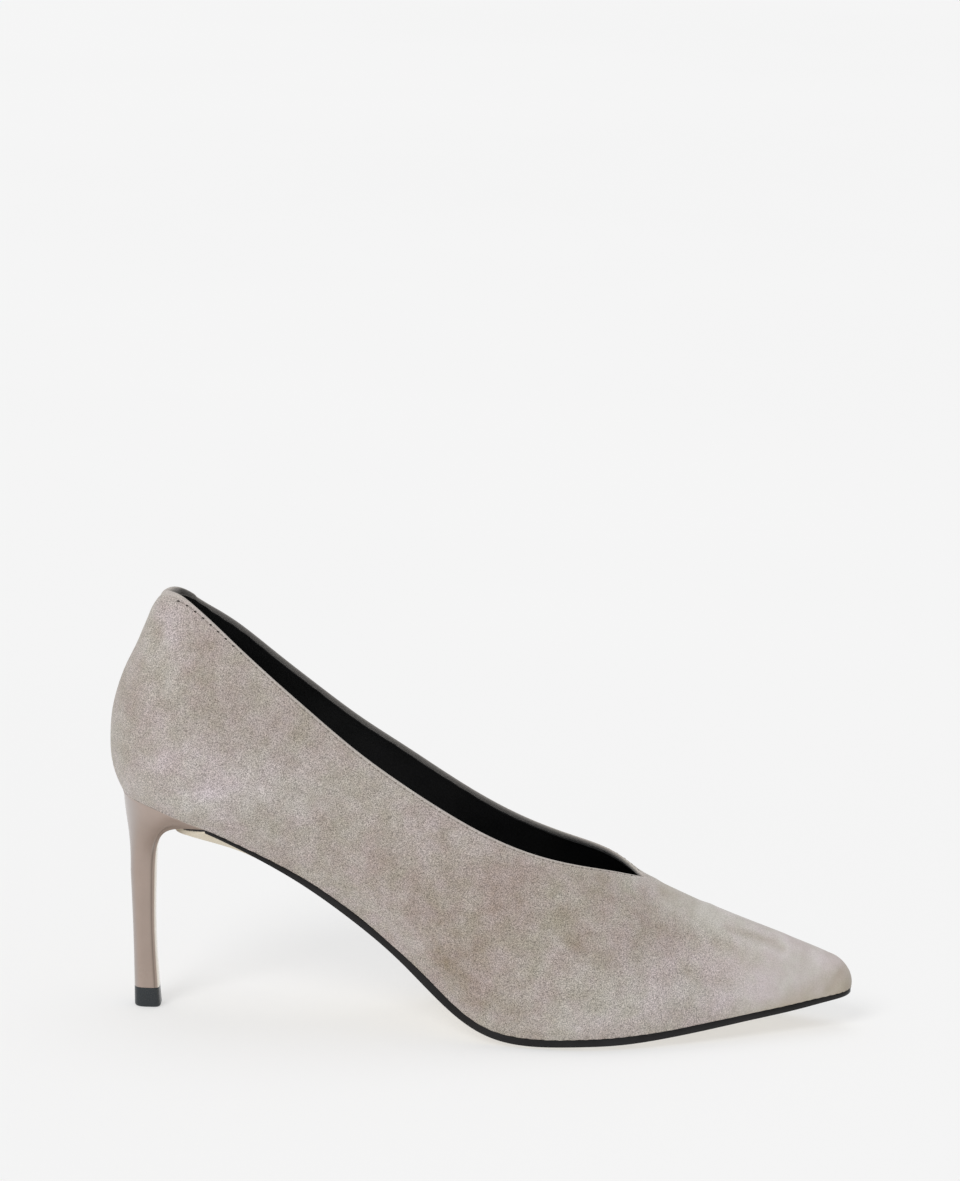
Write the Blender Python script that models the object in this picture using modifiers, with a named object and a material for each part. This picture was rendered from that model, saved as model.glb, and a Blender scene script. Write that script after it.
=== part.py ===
"""A right high vamp pump on a slim high heel, modelled as the pieces that a shoemaker puts together.

Units are metres, +Z is up, the toe points along +X and the outer (lateral) side of the foot is -Y.
The shoe is laid out from the back of the heel (x = 0) on the floor (z = 0), and an empty then carries
all of it so that the middle of its footprint stands on the origin.
"""

import math
from collections import namedtuple

import bmesh
import bpy
import numpy as np

MM = 0.001

# Driving dimensions of the last
LENGTH = 252 * MM
BALL_WIDTH = 72 * MM
SEAT_HEIGHT = 74.6 * MM
BALL_HEIGHT = 3.9 * MM
TOE_SPRING = 9.6 * MM
COLLAR_HEIGHT = 143.4 * MM
INSTEP_HEIGHT = 50 * MM

# Thicknesses and fits
WALL = 1.8 * MM
GAP = 0.3 * MM
INSOLE_THICKNESS = 2.2 * MM
INSOLE_INSET = 2.5 * MM
SOLE_MARGIN = 0.1 * MM
SOLE_BEVEL = 9 * MM
TOP_LIFT_HEIGHT = 6.4 * MM
TOP_LIFT_BEVEL = 0.7 * MM

# Heel breast: where the outsole ends against the heel, and how far its middle runs further back
BREAST_STATION = 4.45
BREAST_BOW = 11.5 * MM
BREAST_FADE = 34 * MM

# Share of each wall line's chord that its lower and upper handles take
LOWER_HANDLE = 0.38
UPPER_HANDLE = 0.30

# Evening out of the wall below the throat, in stations
FAIRING_WIDTH = 1.0
FAIRING_REACH = 1.8

# Mesh fineness
STEPS_PER_STATION = 3
WALL_ROWS = 9
ACROSS = 10
FLARE_RINGS = 7
STEM_RINGS = 4

# Side view of the feather line, from heel to toe. along is a share of LENGTH, shank a share of the rise
# from ball to seat, toe a share of TOE_SPRING, crown the drop of the middle of the bottom below its edges
# and sole and edge the outsole's thickness in its middle and at its edge.
Profile = namedtuple("Profile", "along shank toe crown sole edge")
PROFILE = [
    Profile(0.020, 1.000, 0.000, 0.0 * MM, 3.6 * MM, 0.8 * MM),
    Profile(0.048, 0.991, 0.000, 2.8 * MM, 3.6 * MM, 0.8 * MM),
    Profile(0.080, 0.962, 0.000, 4.8 * MM, 3.6 * MM, 0.8 * MM),
    Profile(0.131, 0.901, 0.000, 5.4 * MM, 2.6 * MM, 1.0 * MM),
    Profile(0.193, 0.801, 0.000, 2.8 * MM, 1.8 * MM, 1.4 * MM),
    Profile(0.259, 0.680, 0.000, 1.4 * MM, 2.5 * MM, 2.3 * MM),
    Profile(0.326, 0.525, 0.000, 1.0 * MM, 3.0 * MM, 2.8 * MM),
    Profile(0.394, 0.343, 0.000, 0.8 * MM, 3.2 * MM, 3.0 * MM),
    Profile(0.438, 0.213, 0.000, 0.7 * MM, 3.7 * MM, 3.6 * MM),
    Profile(0.470, 0.116, 0.000, 0.7 * MM, 3.6 * MM, 3.2 * MM),
    Profile(0.504, 0.040, 0.000, 0.6 * MM, 3.6 * MM, 2.6 * MM),
    Profile(0.556, -0.002, 0.000, 0.5 * MM, 3.7 * MM, 2.4 * MM),
    Profile(0.622, 0.000, 0.000, 0.5 * MM, 3.7 * MM, 2.3 * MM),
    Profile(0.688, 0.000, 0.075, 0.5 * MM, 3.5 * MM, 2.5 * MM),
    Profile(0.766, 0.000, 0.250, 0.5 * MM, 3.2 * MM, 2.4 * MM),
    Profile(0.860, 0.000, 0.530, 0.4 * MM, 2.9 * MM, 2.2 * MM),
    Profile(0.930, 0.000, 0.740, 0.3 * MM, 2.5 * MM, 2.0 * MM),
    Profile(0.996, 0.000, 1.000, 0.0 * MM, 2.0 * MM, 1.6 * MM),
]

# Plan of the feather line, station by station from the back seam to the tip of the toe. along is a share of
# LENGTH, lateral and medial are shares of BALL_WIDTH to either side of the heel's axis, and the flares are the
# degrees by which the wall leans out as it leaves the feather line.
Feather = namedtuple("Feather", "along lateral medial flare_lateral flare_medial")
FEATHER = [
    Feather(0.020, 0.000, 0.000, 27, 27),
    Feather(0.027, 0.114, 0.111, 29, 29),
    Feather(0.044, 0.206, 0.200, 32, 32),
    Feather(0.071, 0.275, 0.267, 34, 34),
    Feather(0.111, 0.311, 0.294, 33, 33),
    Feather(0.167, 0.306, 0.267, 29, 31),
    Feather(0.234, 0.286, 0.225, 26, 30),
    Feather(0.306, 0.278, 0.211, 25, 30),
    Feather(0.377, 0.314, 0.244, 24, 28),
    Feather(0.444, 0.392, 0.319, 21, 24),
    Feather(0.508, 0.467, 0.397, 18, 19),
    Feather(0.571, 0.511, 0.453, 16, 16),
    Feather(0.631, 0.519, 0.478, 15, 15),
    Feather(0.687, 0.484, 0.471, 14, 14),
    Feather(0.742, 0.418, 0.431, 13, 13),
    Feather(0.806, 0.324, 0.360, 12, 12),
    Feather(0.865, 0.226, 0.279, 11, 11),
    Feather(0.917, 0.140, 0.207, 11, 11),
    Feather(0.957, 0.071, 0.149, 12, 12),
    Feather(0.987, 0.021, 0.104, 12, 12),
    Feather(0.998, -0.042, 0.042, 12, 12),
]

# Topline from the back seam to the throat, at the same stations. Heights are shares of COLLAR_HEIGHT and lean is
# how far the wall has closed in at its top edge, in degrees from upright.
Rim = namedtuple("Rim", "along lateral medial height_lateral height_medial lean")
RIM = [
    Rim(0.069, 0.000, 0.000, 1.000, 1.000, 31),
    Rim(0.075, 0.064, 0.064, 0.999, 0.998, 31),
    Rim(0.092, 0.117, 0.117, 0.990, 0.987, 30),
    Rim(0.121, 0.165, 0.165, 0.9655, 0.955, 26),
    Rim(0.162, 0.217, 0.217, 0.9065, 0.903, 23),
    Rim(0.214, 0.271, 0.271, 0.828, 0.826, 20),
    Rim(0.270, 0.307, 0.307, 0.7495, 0.748, 18),
    Rim(0.329, 0.326, 0.326, 0.668, 0.672, 16),
    Rim(0.389, 0.338, 0.338, 0.5965, 0.605, 16),
    Rim(0.448, 0.340, 0.340, 0.533, 0.540, 18),
    Rim(0.508, 0.331, 0.331, 0.477, 0.481, 24),
    Rim(0.567, 0.300, 0.300, 0.435, 0.438, 34),
    Rim(0.623, 0.244, 0.242, 0.407, 0.412, 48),
    Rim(0.675, 0.147, 0.144, 0.382, 0.390, 66),
    Rim(0.718, 0.000, 0.000, 0.3485, 0.3485, 82),
]

# Ridge of the vamp from the throat to the top of the toe, at the stations that follow. aside is a share of
# BALL_WIDTH towards the inner side, and height a share of INSTEP_HEIGHT.
Ridge = namedtuple("Ridge", "along aside height")
RIDGE = [
    Ridge(0.718, 0.000, 1.000),
    Ridge(0.776, 0.008, 0.874),
    Ridge(0.833, 0.017, 0.760),
    Ridge(0.883, 0.025, 0.668),
    Ridge(0.923, 0.032, 0.592),
    Ridge(0.952, 0.038, 0.535),
    Ridge(0.970, 0.042, 0.500),
]

# Stem of the heel from its top to its tip: heights, the middle's place along the shoe, and the section's size
Stem = namedtuple("Stem", "height middle depth width")
STEM = [
    Stem(47.0 * MM, 12.2 * MM, 8.8 * MM, 9.6 * MM),
    Stem(26.0 * MM, 13.0 * MM, 7.8 * MM, 8.2 * MM),
    Stem(6.7 * MM, 14.2 * MM, 8.5 * MM, 8.6 * MM),
]
TOP_LIFT = [
    Stem(TOP_LIFT_HEIGHT, 14.2 * MM, 8.5 * MM, 8.7 * MM),
    Stem(TOP_LIFT_BEVEL, 14.6 * MM, 8.9 * MM, 9.2 * MM),
    Stem(0.0, 14.6 * MM, 7.9 * MM, 8.2 * MM),
]
BREAST_SQUARENESS = 4.5
BACK_SQUARENESS = 2.8
BREAST_HALF_ANGLE = math.radians(48)

# Handles of the heel's flare: how far its lines run in and down as they leave the seat, and up from the neck
Flare = namedtuple("Flare", "leave_in leave_down arrive_up")
SIDE_FLARE = Flare(0.22, 0.34, 0.50)
BREAST_FLARE = Flare(0.80, 0.17, 0.80)

THROAT = len(RIM) - 1
TIP = len(FEATHER) - 1

# Colours read from the photograph, with roughness
SUEDE = ((0.42, 0.37, 0.33), 0.95)
HEEL_LACQUER = ((0.35, 0.29, 0.24), 0.32)
BLACK_RUBBER = ((0.035, 0.037, 0.04), 0.5)
SOLE_BLACK = ((0.03, 0.03, 0.033), 0.45)
SOCK_BLACK = ((0.012, 0.012, 0.013), 0.6)


def columns_of(table):
    """The table's columns as arrays, by name."""
    return {name: np.array(values, float) for name, values in zip(table[0]._fields, zip(*table))}


def spline(values, at, knots=None):
    """A natural cubic through values, one row for each knot, read at the given places."""
    values = np.asarray(values, float)
    knots = np.arange(len(values), dtype=float) if knots is None else np.asarray(knots, float)
    span = np.diff(knots)
    chord = np.diff(values, axis=0) / span.reshape(-1, *[1] * (values.ndim - 1))
    count = len(knots)
    system = np.zeros((count, count))
    target = np.zeros_like(values)
    system[0, :2] = (2, 1)
    target[0] = 3 * chord[0]
    system[-1, -2:] = (1, 2)
    target[-1] = 3 * chord[-1]
    for i in range(1, count - 1):
        system[i, i - 1 : i + 2] = (span[i], 2 * (span[i - 1] + span[i]), span[i - 1])
        target[i] = 3 * (span[i] * chord[i - 1] + span[i - 1] * chord[i])
    slope = np.linalg.solve(system, target.reshape(count, -1)).reshape(values.shape)
    at = np.asarray(at, float)
    cell = np.clip(np.searchsorted(knots, at, side="right") - 1, 0, count - 2)
    shape = at.shape + (1,) * (values.ndim - 1)
    width = span[cell].reshape(shape)
    t = ((at - knots[cell]) / span[cell]).reshape(shape)
    start, end = values[cell], values[cell + 1]
    rise = (2 * t**3 - 3 * t**2 + 1) * start + (3 * t**2 - 2 * t**3) * end
    return rise + width * ((t**3 - 2 * t**2 + t) * slope[cell] + (t**3 - t**2) * slope[cell + 1])


def stations(first, last):
    """Evenly spaced station numbers between two stations, both ends included."""
    return np.linspace(first, last, round((last - first) * STEPS_PER_STATION) + 1)


def profile(x, column):
    """One column of the side view at places x along the shoe."""
    table = columns_of(PROFILE)
    return spline(table[column], np.asarray(x) / LENGTH, table["along"])


def edge_height(x):
    """Height of the feather line above the floor at places x along the shoe."""
    rise = profile(x, "shank") * (SEAT_HEIGHT - BALL_HEIGHT)
    return BALL_HEIGHT + rise + profile(x, "toe") * TOE_SPRING


def round_loop(lateral, medial):
    """Both sides of a table joined into one line, from the tip round the back and on to the tip."""
    return np.concatenate([medial[::-1], lateral[1:]])


def feather_plan(at):
    """Plan points (x, y) of the feather line at station numbers, lateral and medial."""
    table = columns_of(FEATHER)
    along = table["along"] * LENGTH
    lateral = np.column_stack([along, -table["lateral"] * BALL_WIDTH])
    medial = np.column_stack([along, table["medial"] * BALL_WIDTH])
    loop = round_loop(lateral, medial)
    return spline(loop, TIP + np.asarray(at)), spline(loop, TIP - np.asarray(at))


def feather_line(at):
    """Feather line points on the lateral and the medial side, with the inward direction in plan at each."""
    step = 0.02
    sides = []
    for sign, plan in zip((1, -1), feather_plan(at)):
        ahead = feather_plan(np.minimum(at + step, TIP))[0 if sign > 0 else 1]
        behind = feather_plan(np.maximum(at - step, 0))[0 if sign > 0 else 1]
        along = ahead - behind
        inward = np.column_stack([-along[:, 1], along[:, 0]]) * sign
        inward /= np.linalg.norm(inward, axis=1, keepdims=True)
        inward[at == 0] = (1, 0)
        inward[at == TIP] = (-1, 0)
        sides.append((np.column_stack([plan, edge_height(plan[:, 0])]), inward))
    return sides


def bottom_height(x, y):
    """Height of the bottom of the last: level with the feather line at its edges and lower in the middle."""
    at = np.linspace(0, TIP, 40 * TIP)
    lateral, medial = feather_plan(at)
    right = np.interp(x, lateral[:, 0], lateral[:, 1])
    left = np.interp(x, medial[:, 0], medial[:, 1])
    half = np.maximum((left - right) / 2, MM)
    across = np.clip((y - (left + right) / 2) / half, -1, 1)
    return edge_height(x) - profile(x, "crown") * (1 - across**2)


def top_line(at, side):
    """Top edge of the wall on one side: the rim up to the throat, and the ridge of the vamp beyond it."""
    rim = columns_of(RIM)
    ridge = columns_of(RIDGE)
    rims = {}
    for name, sign in (("lateral", -1), ("medial", 1)):
        y = sign * rim[name] * BALL_WIDTH
        rims[name] = np.column_stack([rim["along"] * LENGTH, y, rim["height_" + name] * COLLAR_HEIGHT])
    loop = round_loop(rims["lateral"], rims["medial"])
    turn = 1 if side == "lateral" else -1
    crest = np.column_stack([ridge["along"] * LENGTH, ridge["aside"] * BALL_WIDTH, ridge["height"] * INSTEP_HEIGHT])
    collar = at <= THROAT
    points = np.empty((len(at), 3))
    points[collar] = spline(loop, THROAT + turn * at[collar])
    points[~collar] = spline(crest, at[~collar] - THROAT)
    return points


def closing(at, inward):
    """Unit direction in which the wall arrives at its top edge."""
    rim = columns_of(RIM)
    ridge = columns_of(RIDGE)
    fall = (ridge["height"][-1] - 1) * INSTEP_HEIGHT / ((ridge["along"][-1] - ridge["along"][0]) * LENGTH)
    lean = np.radians(spline(rim["lean"], np.minimum(at, THROAT)))
    upward = np.where(at <= THROAT, np.cos(lean), inward[:, 0] * fall)
    level = np.where(at <= THROAT, np.sin(lean), 1.0)
    direction = np.column_stack([inward * level[:, None], upward])
    return direction / np.linalg.norm(direction, axis=1, keepdims=True)


def fair(at, grid):
    """Evens out the wall about the throat along the shoe, leaving its foot and its top edge where they are."""
    apart = (at[:, None] - at[None, :]) / FAIRING_WIDTH
    spread = np.exp(-(apart**2))
    spread /= spread.sum(axis=1, keepdims=True)
    even = np.einsum("ij,jkl->ikl", spread, grid)
    near = np.exp(-(((at - THROAT) / FAIRING_REACH) ** 2))[:, None, None]
    inside = np.ones((1, grid.shape[1], 1))
    inside[:, [0, -1]] = 0
    return grid + near * inside * (even - grid)


def wall_grid(side):
    """Points of the outside of the upper on one side: a row for each station, from feather line to top edge."""
    at = stations(0, TIP)
    foot, inward = feather_line(at)[0 if side == "lateral" else 1]
    top = top_line(at, side)
    flare = np.radians(spline(columns_of(FEATHER)["flare_" + side], at))
    rise = np.column_stack([-inward * np.sin(flare)[:, None], np.cos(flare)])
    chord = np.linalg.norm(top - foot, axis=1, keepdims=True)
    lower = foot + rise * chord * LOWER_HANDLE
    upper = top - closing(at, inward) * chord * UPPER_HANDLE
    t = np.linspace(0, 1, WALL_ROWS + 1)[None, :, None]
    corners = [p[:, None, :] for p in (foot, lower, upper, top)]
    weights = ((1 - t) ** 3, 3 * t * (1 - t) ** 2, 3 * t**2 * (1 - t), t**3)
    return fair(at, sum(weight * corner for weight, corner in zip(weights, corners)))


def material(name, finish):
    """A plain surface of one colour and roughness."""
    made = bpy.data.materials.new(name)
    made.use_nodes = True
    surface = made.node_tree.nodes["Principled BSDF"]
    surface.inputs["Base Color"].default_value = (*finish[0], 1.0)
    surface.inputs["Roughness"].default_value = finish[1]
    surface.inputs["Metallic"].default_value = 0.0
    return made


def add_grid(mesh, points, flip=False):
    """Adds a grid of points to a bmesh as quads. Rows run away from the viewer's left when the faces look at them."""
    rows = [[mesh.verts.new(p) for p in row] for row in points]
    for near, far in zip(rows, rows[1:]):
        for corners in zip(near, far, far[1:], near[1:]):
            mesh.faces.new(corners[::-1] if flip else corners)


def finish_object(name, mesh, collection, carrier, finish):
    """Welds a bmesh, turns it into a smooth shaded object and hangs it on the carrier."""
    bmesh.ops.remove_doubles(mesh, verts=mesh.verts, dist=0.01 * MM)
    bmesh.ops.dissolve_degenerate(mesh, edges=mesh.edges, dist=0.005 * MM)
    data = bpy.data.meshes.new(name)
    mesh.to_mesh(data)
    mesh.free()
    data.shade_smooth()
    data.set_sharp_from_angle(angle=math.radians(40))
    made = bpy.data.objects.new(name, data)
    made.data.materials.append(material(name, finish))
    made.parent = carrier
    collection.objects.link(made)
    return made


def make_upper(collection, carrier):
    """The hollow upper: both sides of the wall as one open surface, thickened inwards."""
    mesh = bmesh.new()
    add_grid(mesh, wall_grid("lateral"))
    add_grid(mesh, wall_grid("medial"), flip=True)
    upper = finish_object("upper", mesh, collection, carrier, SUEDE)
    wall = upper.modifiers.new("wall", "SOLIDIFY")
    wall.thickness = WALL
    wall.offset = -1
    wall.use_even_offset = True
    wall.use_rim = True
    return upper


def plate_rows(at, margin, bow):
    """Plan rows of a plate between its two edges: the feather line moved out by margin, each row bowed back."""
    (lateral, in_lateral), (medial, in_medial) = feather_line(at)
    right = lateral[:, :2] - in_lateral * margin
    left = medial[:, :2] - in_medial * margin
    share = np.linspace(0, 1, ACROSS + 1)[None, :, None]
    rows = right[:, None] * (1 - share) + left[:, None] * share
    rows[..., 0] -= bow[:, None] * (1 - (2 * share[..., 0] - 1) ** 2)
    return rows


def add_plate(mesh, rows, top, bottom):
    """Adds a closed plate: its upper and lower faces on the plan rows, and the edge between them."""
    above = np.concatenate([rows, top[..., None]], axis=2)
    below = np.concatenate([rows, bottom[..., None]], axis=2)
    add_grid(mesh, above)
    add_grid(mesh, below, flip=True)
    for edge, flip in ((np.s_[:, 0], False), (np.s_[:, -1], True), (np.s_[0], True), (np.s_[-1], False)):
        add_grid(mesh, np.stack([above[edge], below[edge]]), flip=flip)


def make_insole(collection, carrier):
    """The insole inside the wall, lying on the bottom of the last."""
    at = stations(0, TIP)
    rows = plate_rows(at, -INSOLE_INSET, np.zeros(len(at)))
    under = bottom_height(rows[..., 0], rows[..., 1])
    mesh = bmesh.new()
    add_plate(mesh, rows, under + INSOLE_THICKNESS, under)
    return finish_object("insole", mesh, collection, carrier, SOCK_BLACK)


def breast_bow(x, start):
    """How far a row of the outsole bows back in the middle, fading out ahead of the breast."""
    ahead = np.clip(1 - (x - start) / BREAST_FADE, 0, 1)
    return BREAST_BOW * ahead**2


def make_outsole(collection, carrier):
    """The thin outsole from the toe to the heel breast, with a flat tread under the ball."""
    at = stations(BREAST_STATION, TIP)
    edge = feather_plan(at)[0][:, 0]
    rows = plate_rows(at, SOLE_MARGIN, breast_bow(edge, edge[0]))
    from_edge = np.minimum(rows[..., 1] - rows[:, :1, 1], rows[:, -1:, 1] - rows[..., 1])
    bevel = np.clip(1 - from_edge / SOLE_BEVEL, 0, 1) ** 2
    over = bottom_height(rows[..., 0], rows[..., 1]) - GAP
    thickness = profile(rows[..., 0], "sole") * (1 - bevel) + profile(rows[..., 0], "edge") * bevel
    under = np.maximum(over - thickness, 0.0)
    mesh = bmesh.new()
    add_plate(mesh, rows, over, under)
    return finish_object("outsole", mesh, collection, carrier, SOLE_BLACK)


def section(row, angles):
    """Points of a rounded square section of the stem at angles from the breast, which is its squarer half."""
    cos, sin = np.cos(angles), np.sin(angles)
    power = 2 / np.where(cos > 0, BREAST_SQUARENESS, BACK_SQUARENESS)
    x = row.middle + row.depth / 2 * np.sign(cos) * np.abs(cos) ** power
    y = row.width / 2 * np.sign(sin) * np.abs(sin) ** power
    return np.column_stack([x, y, np.full(len(angles), row.height)])


def seat_rows():
    """The heel's seat as rows between its two edges, from the breast to the back."""
    at = stations(0, BREAST_STATION)[::-1]
    edge = feather_plan(at)[0][:, 0]
    bow = BREAST_BOW * (edge - edge[-1]) / (edge[0] - edge[-1])
    rows = plate_rows(at, 0.0, bow)
    rows[0, :, 0] -= GAP
    height = bottom_height(rows[..., 0], rows[..., 1]) - GAP
    return np.concatenate([rows, height[..., None]], axis=2)


def seat_outline(rows):
    """Edge of the seat once round, breast first from the outer to the inner side, with its angle round the stem."""
    sides = len(rows) - 1
    front = rows[0]
    inner = rows[1:, -1]
    outer = rows[1:-1, 0][::-1]
    front_angles = np.linspace(-BREAST_HALF_ANGLE, BREAST_HALF_ANGLE, len(front))
    inner_angles = np.linspace(BREAST_HALF_ANGLE, math.pi, sides + 1)[1:]
    outer_angles = -inner_angles[:-1][::-1]
    outline = np.concatenate([front, inner, outer])
    return outline, np.concatenate([front_angles, inner_angles, outer_angles])


def heel_rings(rows):
    """Rings of the heel from the seat down its flare and stem to the tip."""
    outline, angles = seat_outline(rows)
    neck = section(STEM[0], angles)
    facing = np.clip(np.cos(angles) / math.cos(BREAST_HALF_ANGLE), 0, 1)[:, None]
    front = facing**2 * (3 - 2 * facing)
    drop = (outline[:, 2] - neck[:, 2])[:, None]
    inward = (neck - outline) * (1, 1, 0)
    up = np.array([[0, 0, 1.0]])
    handles = Flare(*(side * (1 - front) + breast * front for side, breast in zip(SIDE_FLARE, BREAST_FLARE)))
    leave = outline + inward * handles.leave_in - up * drop * handles.leave_down
    arrive = neck + up * drop * handles.arrive_up
    rings = []
    for t in np.linspace(0, 1, FLARE_RINGS + 1):
        weights = ((1 - t) ** 3, 3 * t * (1 - t) ** 2, 3 * t**2 * (1 - t), t**3)
        rings.append(sum(w * p for w, p in zip(weights, (outline, leave, arrive, neck))))
    stem = columns_of(STEM)
    heights = np.linspace(STEM[0].height, STEM[-1].height, STEM_RINGS + 1)[1:]
    for height in heights:
        sizes = [spline(stem[name][::-1], [height], stem["height"][::-1])[0] for name in Stem._fields[1:]]
        rings.append(section(Stem(height, *sizes), angles))
    return rings


def add_rings(mesh, rings):
    """Adds a tube through closed rings that run downwards, with its faces outwards."""
    closed = np.stack([np.concatenate([ring, ring[:1]]) for ring in rings])
    add_grid(mesh, closed)


def add_cap(mesh, ring, upward):
    """Closes a flat ring with one face."""
    corners = [mesh.verts.new(p) for p in ring]
    mesh.faces.new(corners if upward else corners[::-1])


def make_heel(collection, carrier):
    """The heel: a cupped seat, a hollow flare down to a slim stem, and a flat tip."""
    rows = seat_rows()
    rings = heel_rings(rows)
    mesh = bmesh.new()
    add_grid(mesh, rows, flip=True)
    add_rings(mesh, rings)
    add_cap(mesh, rings[-1], upward=False)
    return finish_object("heel", mesh, collection, carrier, HEEL_LACQUER)


def make_top_lift(collection, carrier):
    """The replaceable lift under the heel's tip, with a bevelled tread."""
    angles = np.linspace(-math.pi, math.pi, 29)[:-1]
    rings = [section(row, angles) for row in TOP_LIFT]
    mesh = bmesh.new()
    add_cap(mesh, rings[0], upward=True)
    add_rings(mesh, rings)
    add_cap(mesh, rings[-1], upward=False)
    return finish_object("top_lift", mesh, collection, carrier, BLACK_RUBBER)


def centre_on_floor(carrier, parts):
    """Moves the carrier so that the middle of the shoe's box stands on the origin."""
    bpy.context.view_layer.update()
    graph = bpy.context.evaluated_depsgraph_get()
    points = []
    for part in parts:
        evaluated = part.evaluated_get(graph)
        mesh = evaluated.to_mesh()
        points += [evaluated.matrix_world @ vertex.co for vertex in mesh.vertices]
        evaluated.to_mesh_clear()
    points = np.array(points)
    low, high = points.min(axis=0), points.max(axis=0)
    carrier.location = (-(low[0] + high[0]) / 2, -(low[1] + high[1]) / 2, -low[2])


def main():
    for old in list(bpy.data.objects):
        bpy.data.objects.remove(old)
    collection = bpy.data.collections.new("high_vamp_pump")
    bpy.context.scene.collection.children.link(collection)
    carrier = bpy.data.objects.new("shoe", None)
    collection.objects.link(carrier)
    makers = (make_upper, make_insole, make_outsole, make_heel, make_top_lift)
    parts = [make(collection, carrier) for make in makers]
    centre_on_floor(carrier, parts)


main()
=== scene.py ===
"""The looks of a right high vamp pump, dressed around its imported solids.

Sizes are millimetres in the layout of the last: x runs from the back of the heel to the toe, y towards the
inner side of the foot and z up from the floor. A finished piece is moved into the frame of the solids, in
metres. Stations count along the last from the back seam (0) to the tip of the toe (20), and are negative on
the outer side.
"""

import logging
import math
from dataclasses import dataclass, field
from enum import Enum
from typing import Callable, ClassVar, NamedTuple, Sequence

import bpy
import numpy as np
from mathutils import Matrix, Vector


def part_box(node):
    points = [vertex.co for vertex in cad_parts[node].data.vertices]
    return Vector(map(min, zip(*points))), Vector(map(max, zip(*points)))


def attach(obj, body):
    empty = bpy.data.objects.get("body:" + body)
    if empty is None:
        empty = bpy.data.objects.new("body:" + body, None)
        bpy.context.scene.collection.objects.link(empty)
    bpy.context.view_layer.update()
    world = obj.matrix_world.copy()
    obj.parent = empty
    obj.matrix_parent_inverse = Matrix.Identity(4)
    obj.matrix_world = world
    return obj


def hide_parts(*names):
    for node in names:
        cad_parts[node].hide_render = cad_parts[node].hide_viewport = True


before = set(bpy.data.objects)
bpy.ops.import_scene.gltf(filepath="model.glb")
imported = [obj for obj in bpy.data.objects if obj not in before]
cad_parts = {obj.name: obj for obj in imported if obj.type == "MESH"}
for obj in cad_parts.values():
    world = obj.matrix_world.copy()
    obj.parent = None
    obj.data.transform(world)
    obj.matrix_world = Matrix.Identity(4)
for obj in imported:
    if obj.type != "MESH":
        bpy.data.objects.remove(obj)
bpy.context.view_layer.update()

MM = 0.001
BODY = "root"
IMAGE_HEIGHT = 1181

Array = np.ndarray
Colour = tuple[float, float, float]
Constants = dict[str, object]
Node = bpy.types.Node
Socket = bpy.types.NodeSocket
log = logging.getLogger("high_vamp_pump")


class Side(Enum):
    """The two sides of the shoe, with the sign of their stations."""

    OUTER = -1
    INNER = 1


class Slot(Enum):
    """The record's material slots."""

    UPPER = "upper"
    INSOLE = "insole"
    OUTSOLE = "outsole"
    HEEL = "heel"
    TOP_LIFT = "top_lift"


# Tables of the last


class Profile(NamedTuple):
    """Side view of the feather line: shares of length, rise and toe spring, then millimetres."""

    along: float
    shank: float
    toe: float
    crown: float
    sole: float
    edge: float


class Feather(NamedTuple):
    """Plan of the feather line in shares of length and ball width, and the wall's lean out in degrees."""

    along: float
    outer: float
    inner: float
    flare_outer: float
    flare_inner: float


class Rim(NamedTuple):
    """Topline in shares of length, ball width and collar height, and the wall's lean in in degrees."""

    along: float
    outer: float
    inner: float
    height_outer: float
    height_inner: float
    lean: float


class Ridge(NamedTuple):
    """Ridge of the vamp from throat to toe in shares of length, ball width and instep height."""

    along: float
    aside: float
    height: float


class Stem(NamedTuple):
    """One level section of the heel: height, middle along the shoe, depth and width."""

    height: float
    middle: float
    depth: float
    width: float


PROFILE = (
    Profile(0.020, 1.000, 0.000, 0.0, 3.6, 0.8),
    Profile(0.048, 0.991, 0.000, 2.8, 3.6, 0.8),
    Profile(0.080, 0.962, 0.000, 4.8, 3.6, 0.8),
    Profile(0.131, 0.901, 0.000, 5.4, 2.6, 1.0),
    Profile(0.193, 0.801, 0.000, 2.8, 1.8, 1.4),
    Profile(0.259, 0.680, 0.000, 1.4, 2.5, 2.3),
    Profile(0.326, 0.525, 0.000, 1.0, 3.0, 2.8),
    Profile(0.394, 0.343, 0.000, 0.8, 3.2, 3.0),
    Profile(0.438, 0.213, 0.000, 0.7, 3.7, 3.6),
    Profile(0.470, 0.116, 0.000, 0.7, 3.6, 3.2),
    Profile(0.504, 0.040, 0.000, 0.6, 3.6, 2.6),
    Profile(0.556, -0.002, 0.000, 0.5, 3.7, 2.4),
    Profile(0.622, 0.000, 0.000, 0.5, 3.7, 2.3),
    Profile(0.688, 0.000, 0.075, 0.5, 3.5, 2.5),
    Profile(0.766, 0.000, 0.250, 0.5, 3.2, 2.4),
    Profile(0.860, 0.000, 0.530, 0.4, 2.9, 2.2),
    Profile(0.930, 0.000, 0.740, 0.3, 2.5, 2.0),
    Profile(0.996, 0.000, 1.000, 0.0, 2.0, 1.6),
)

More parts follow.
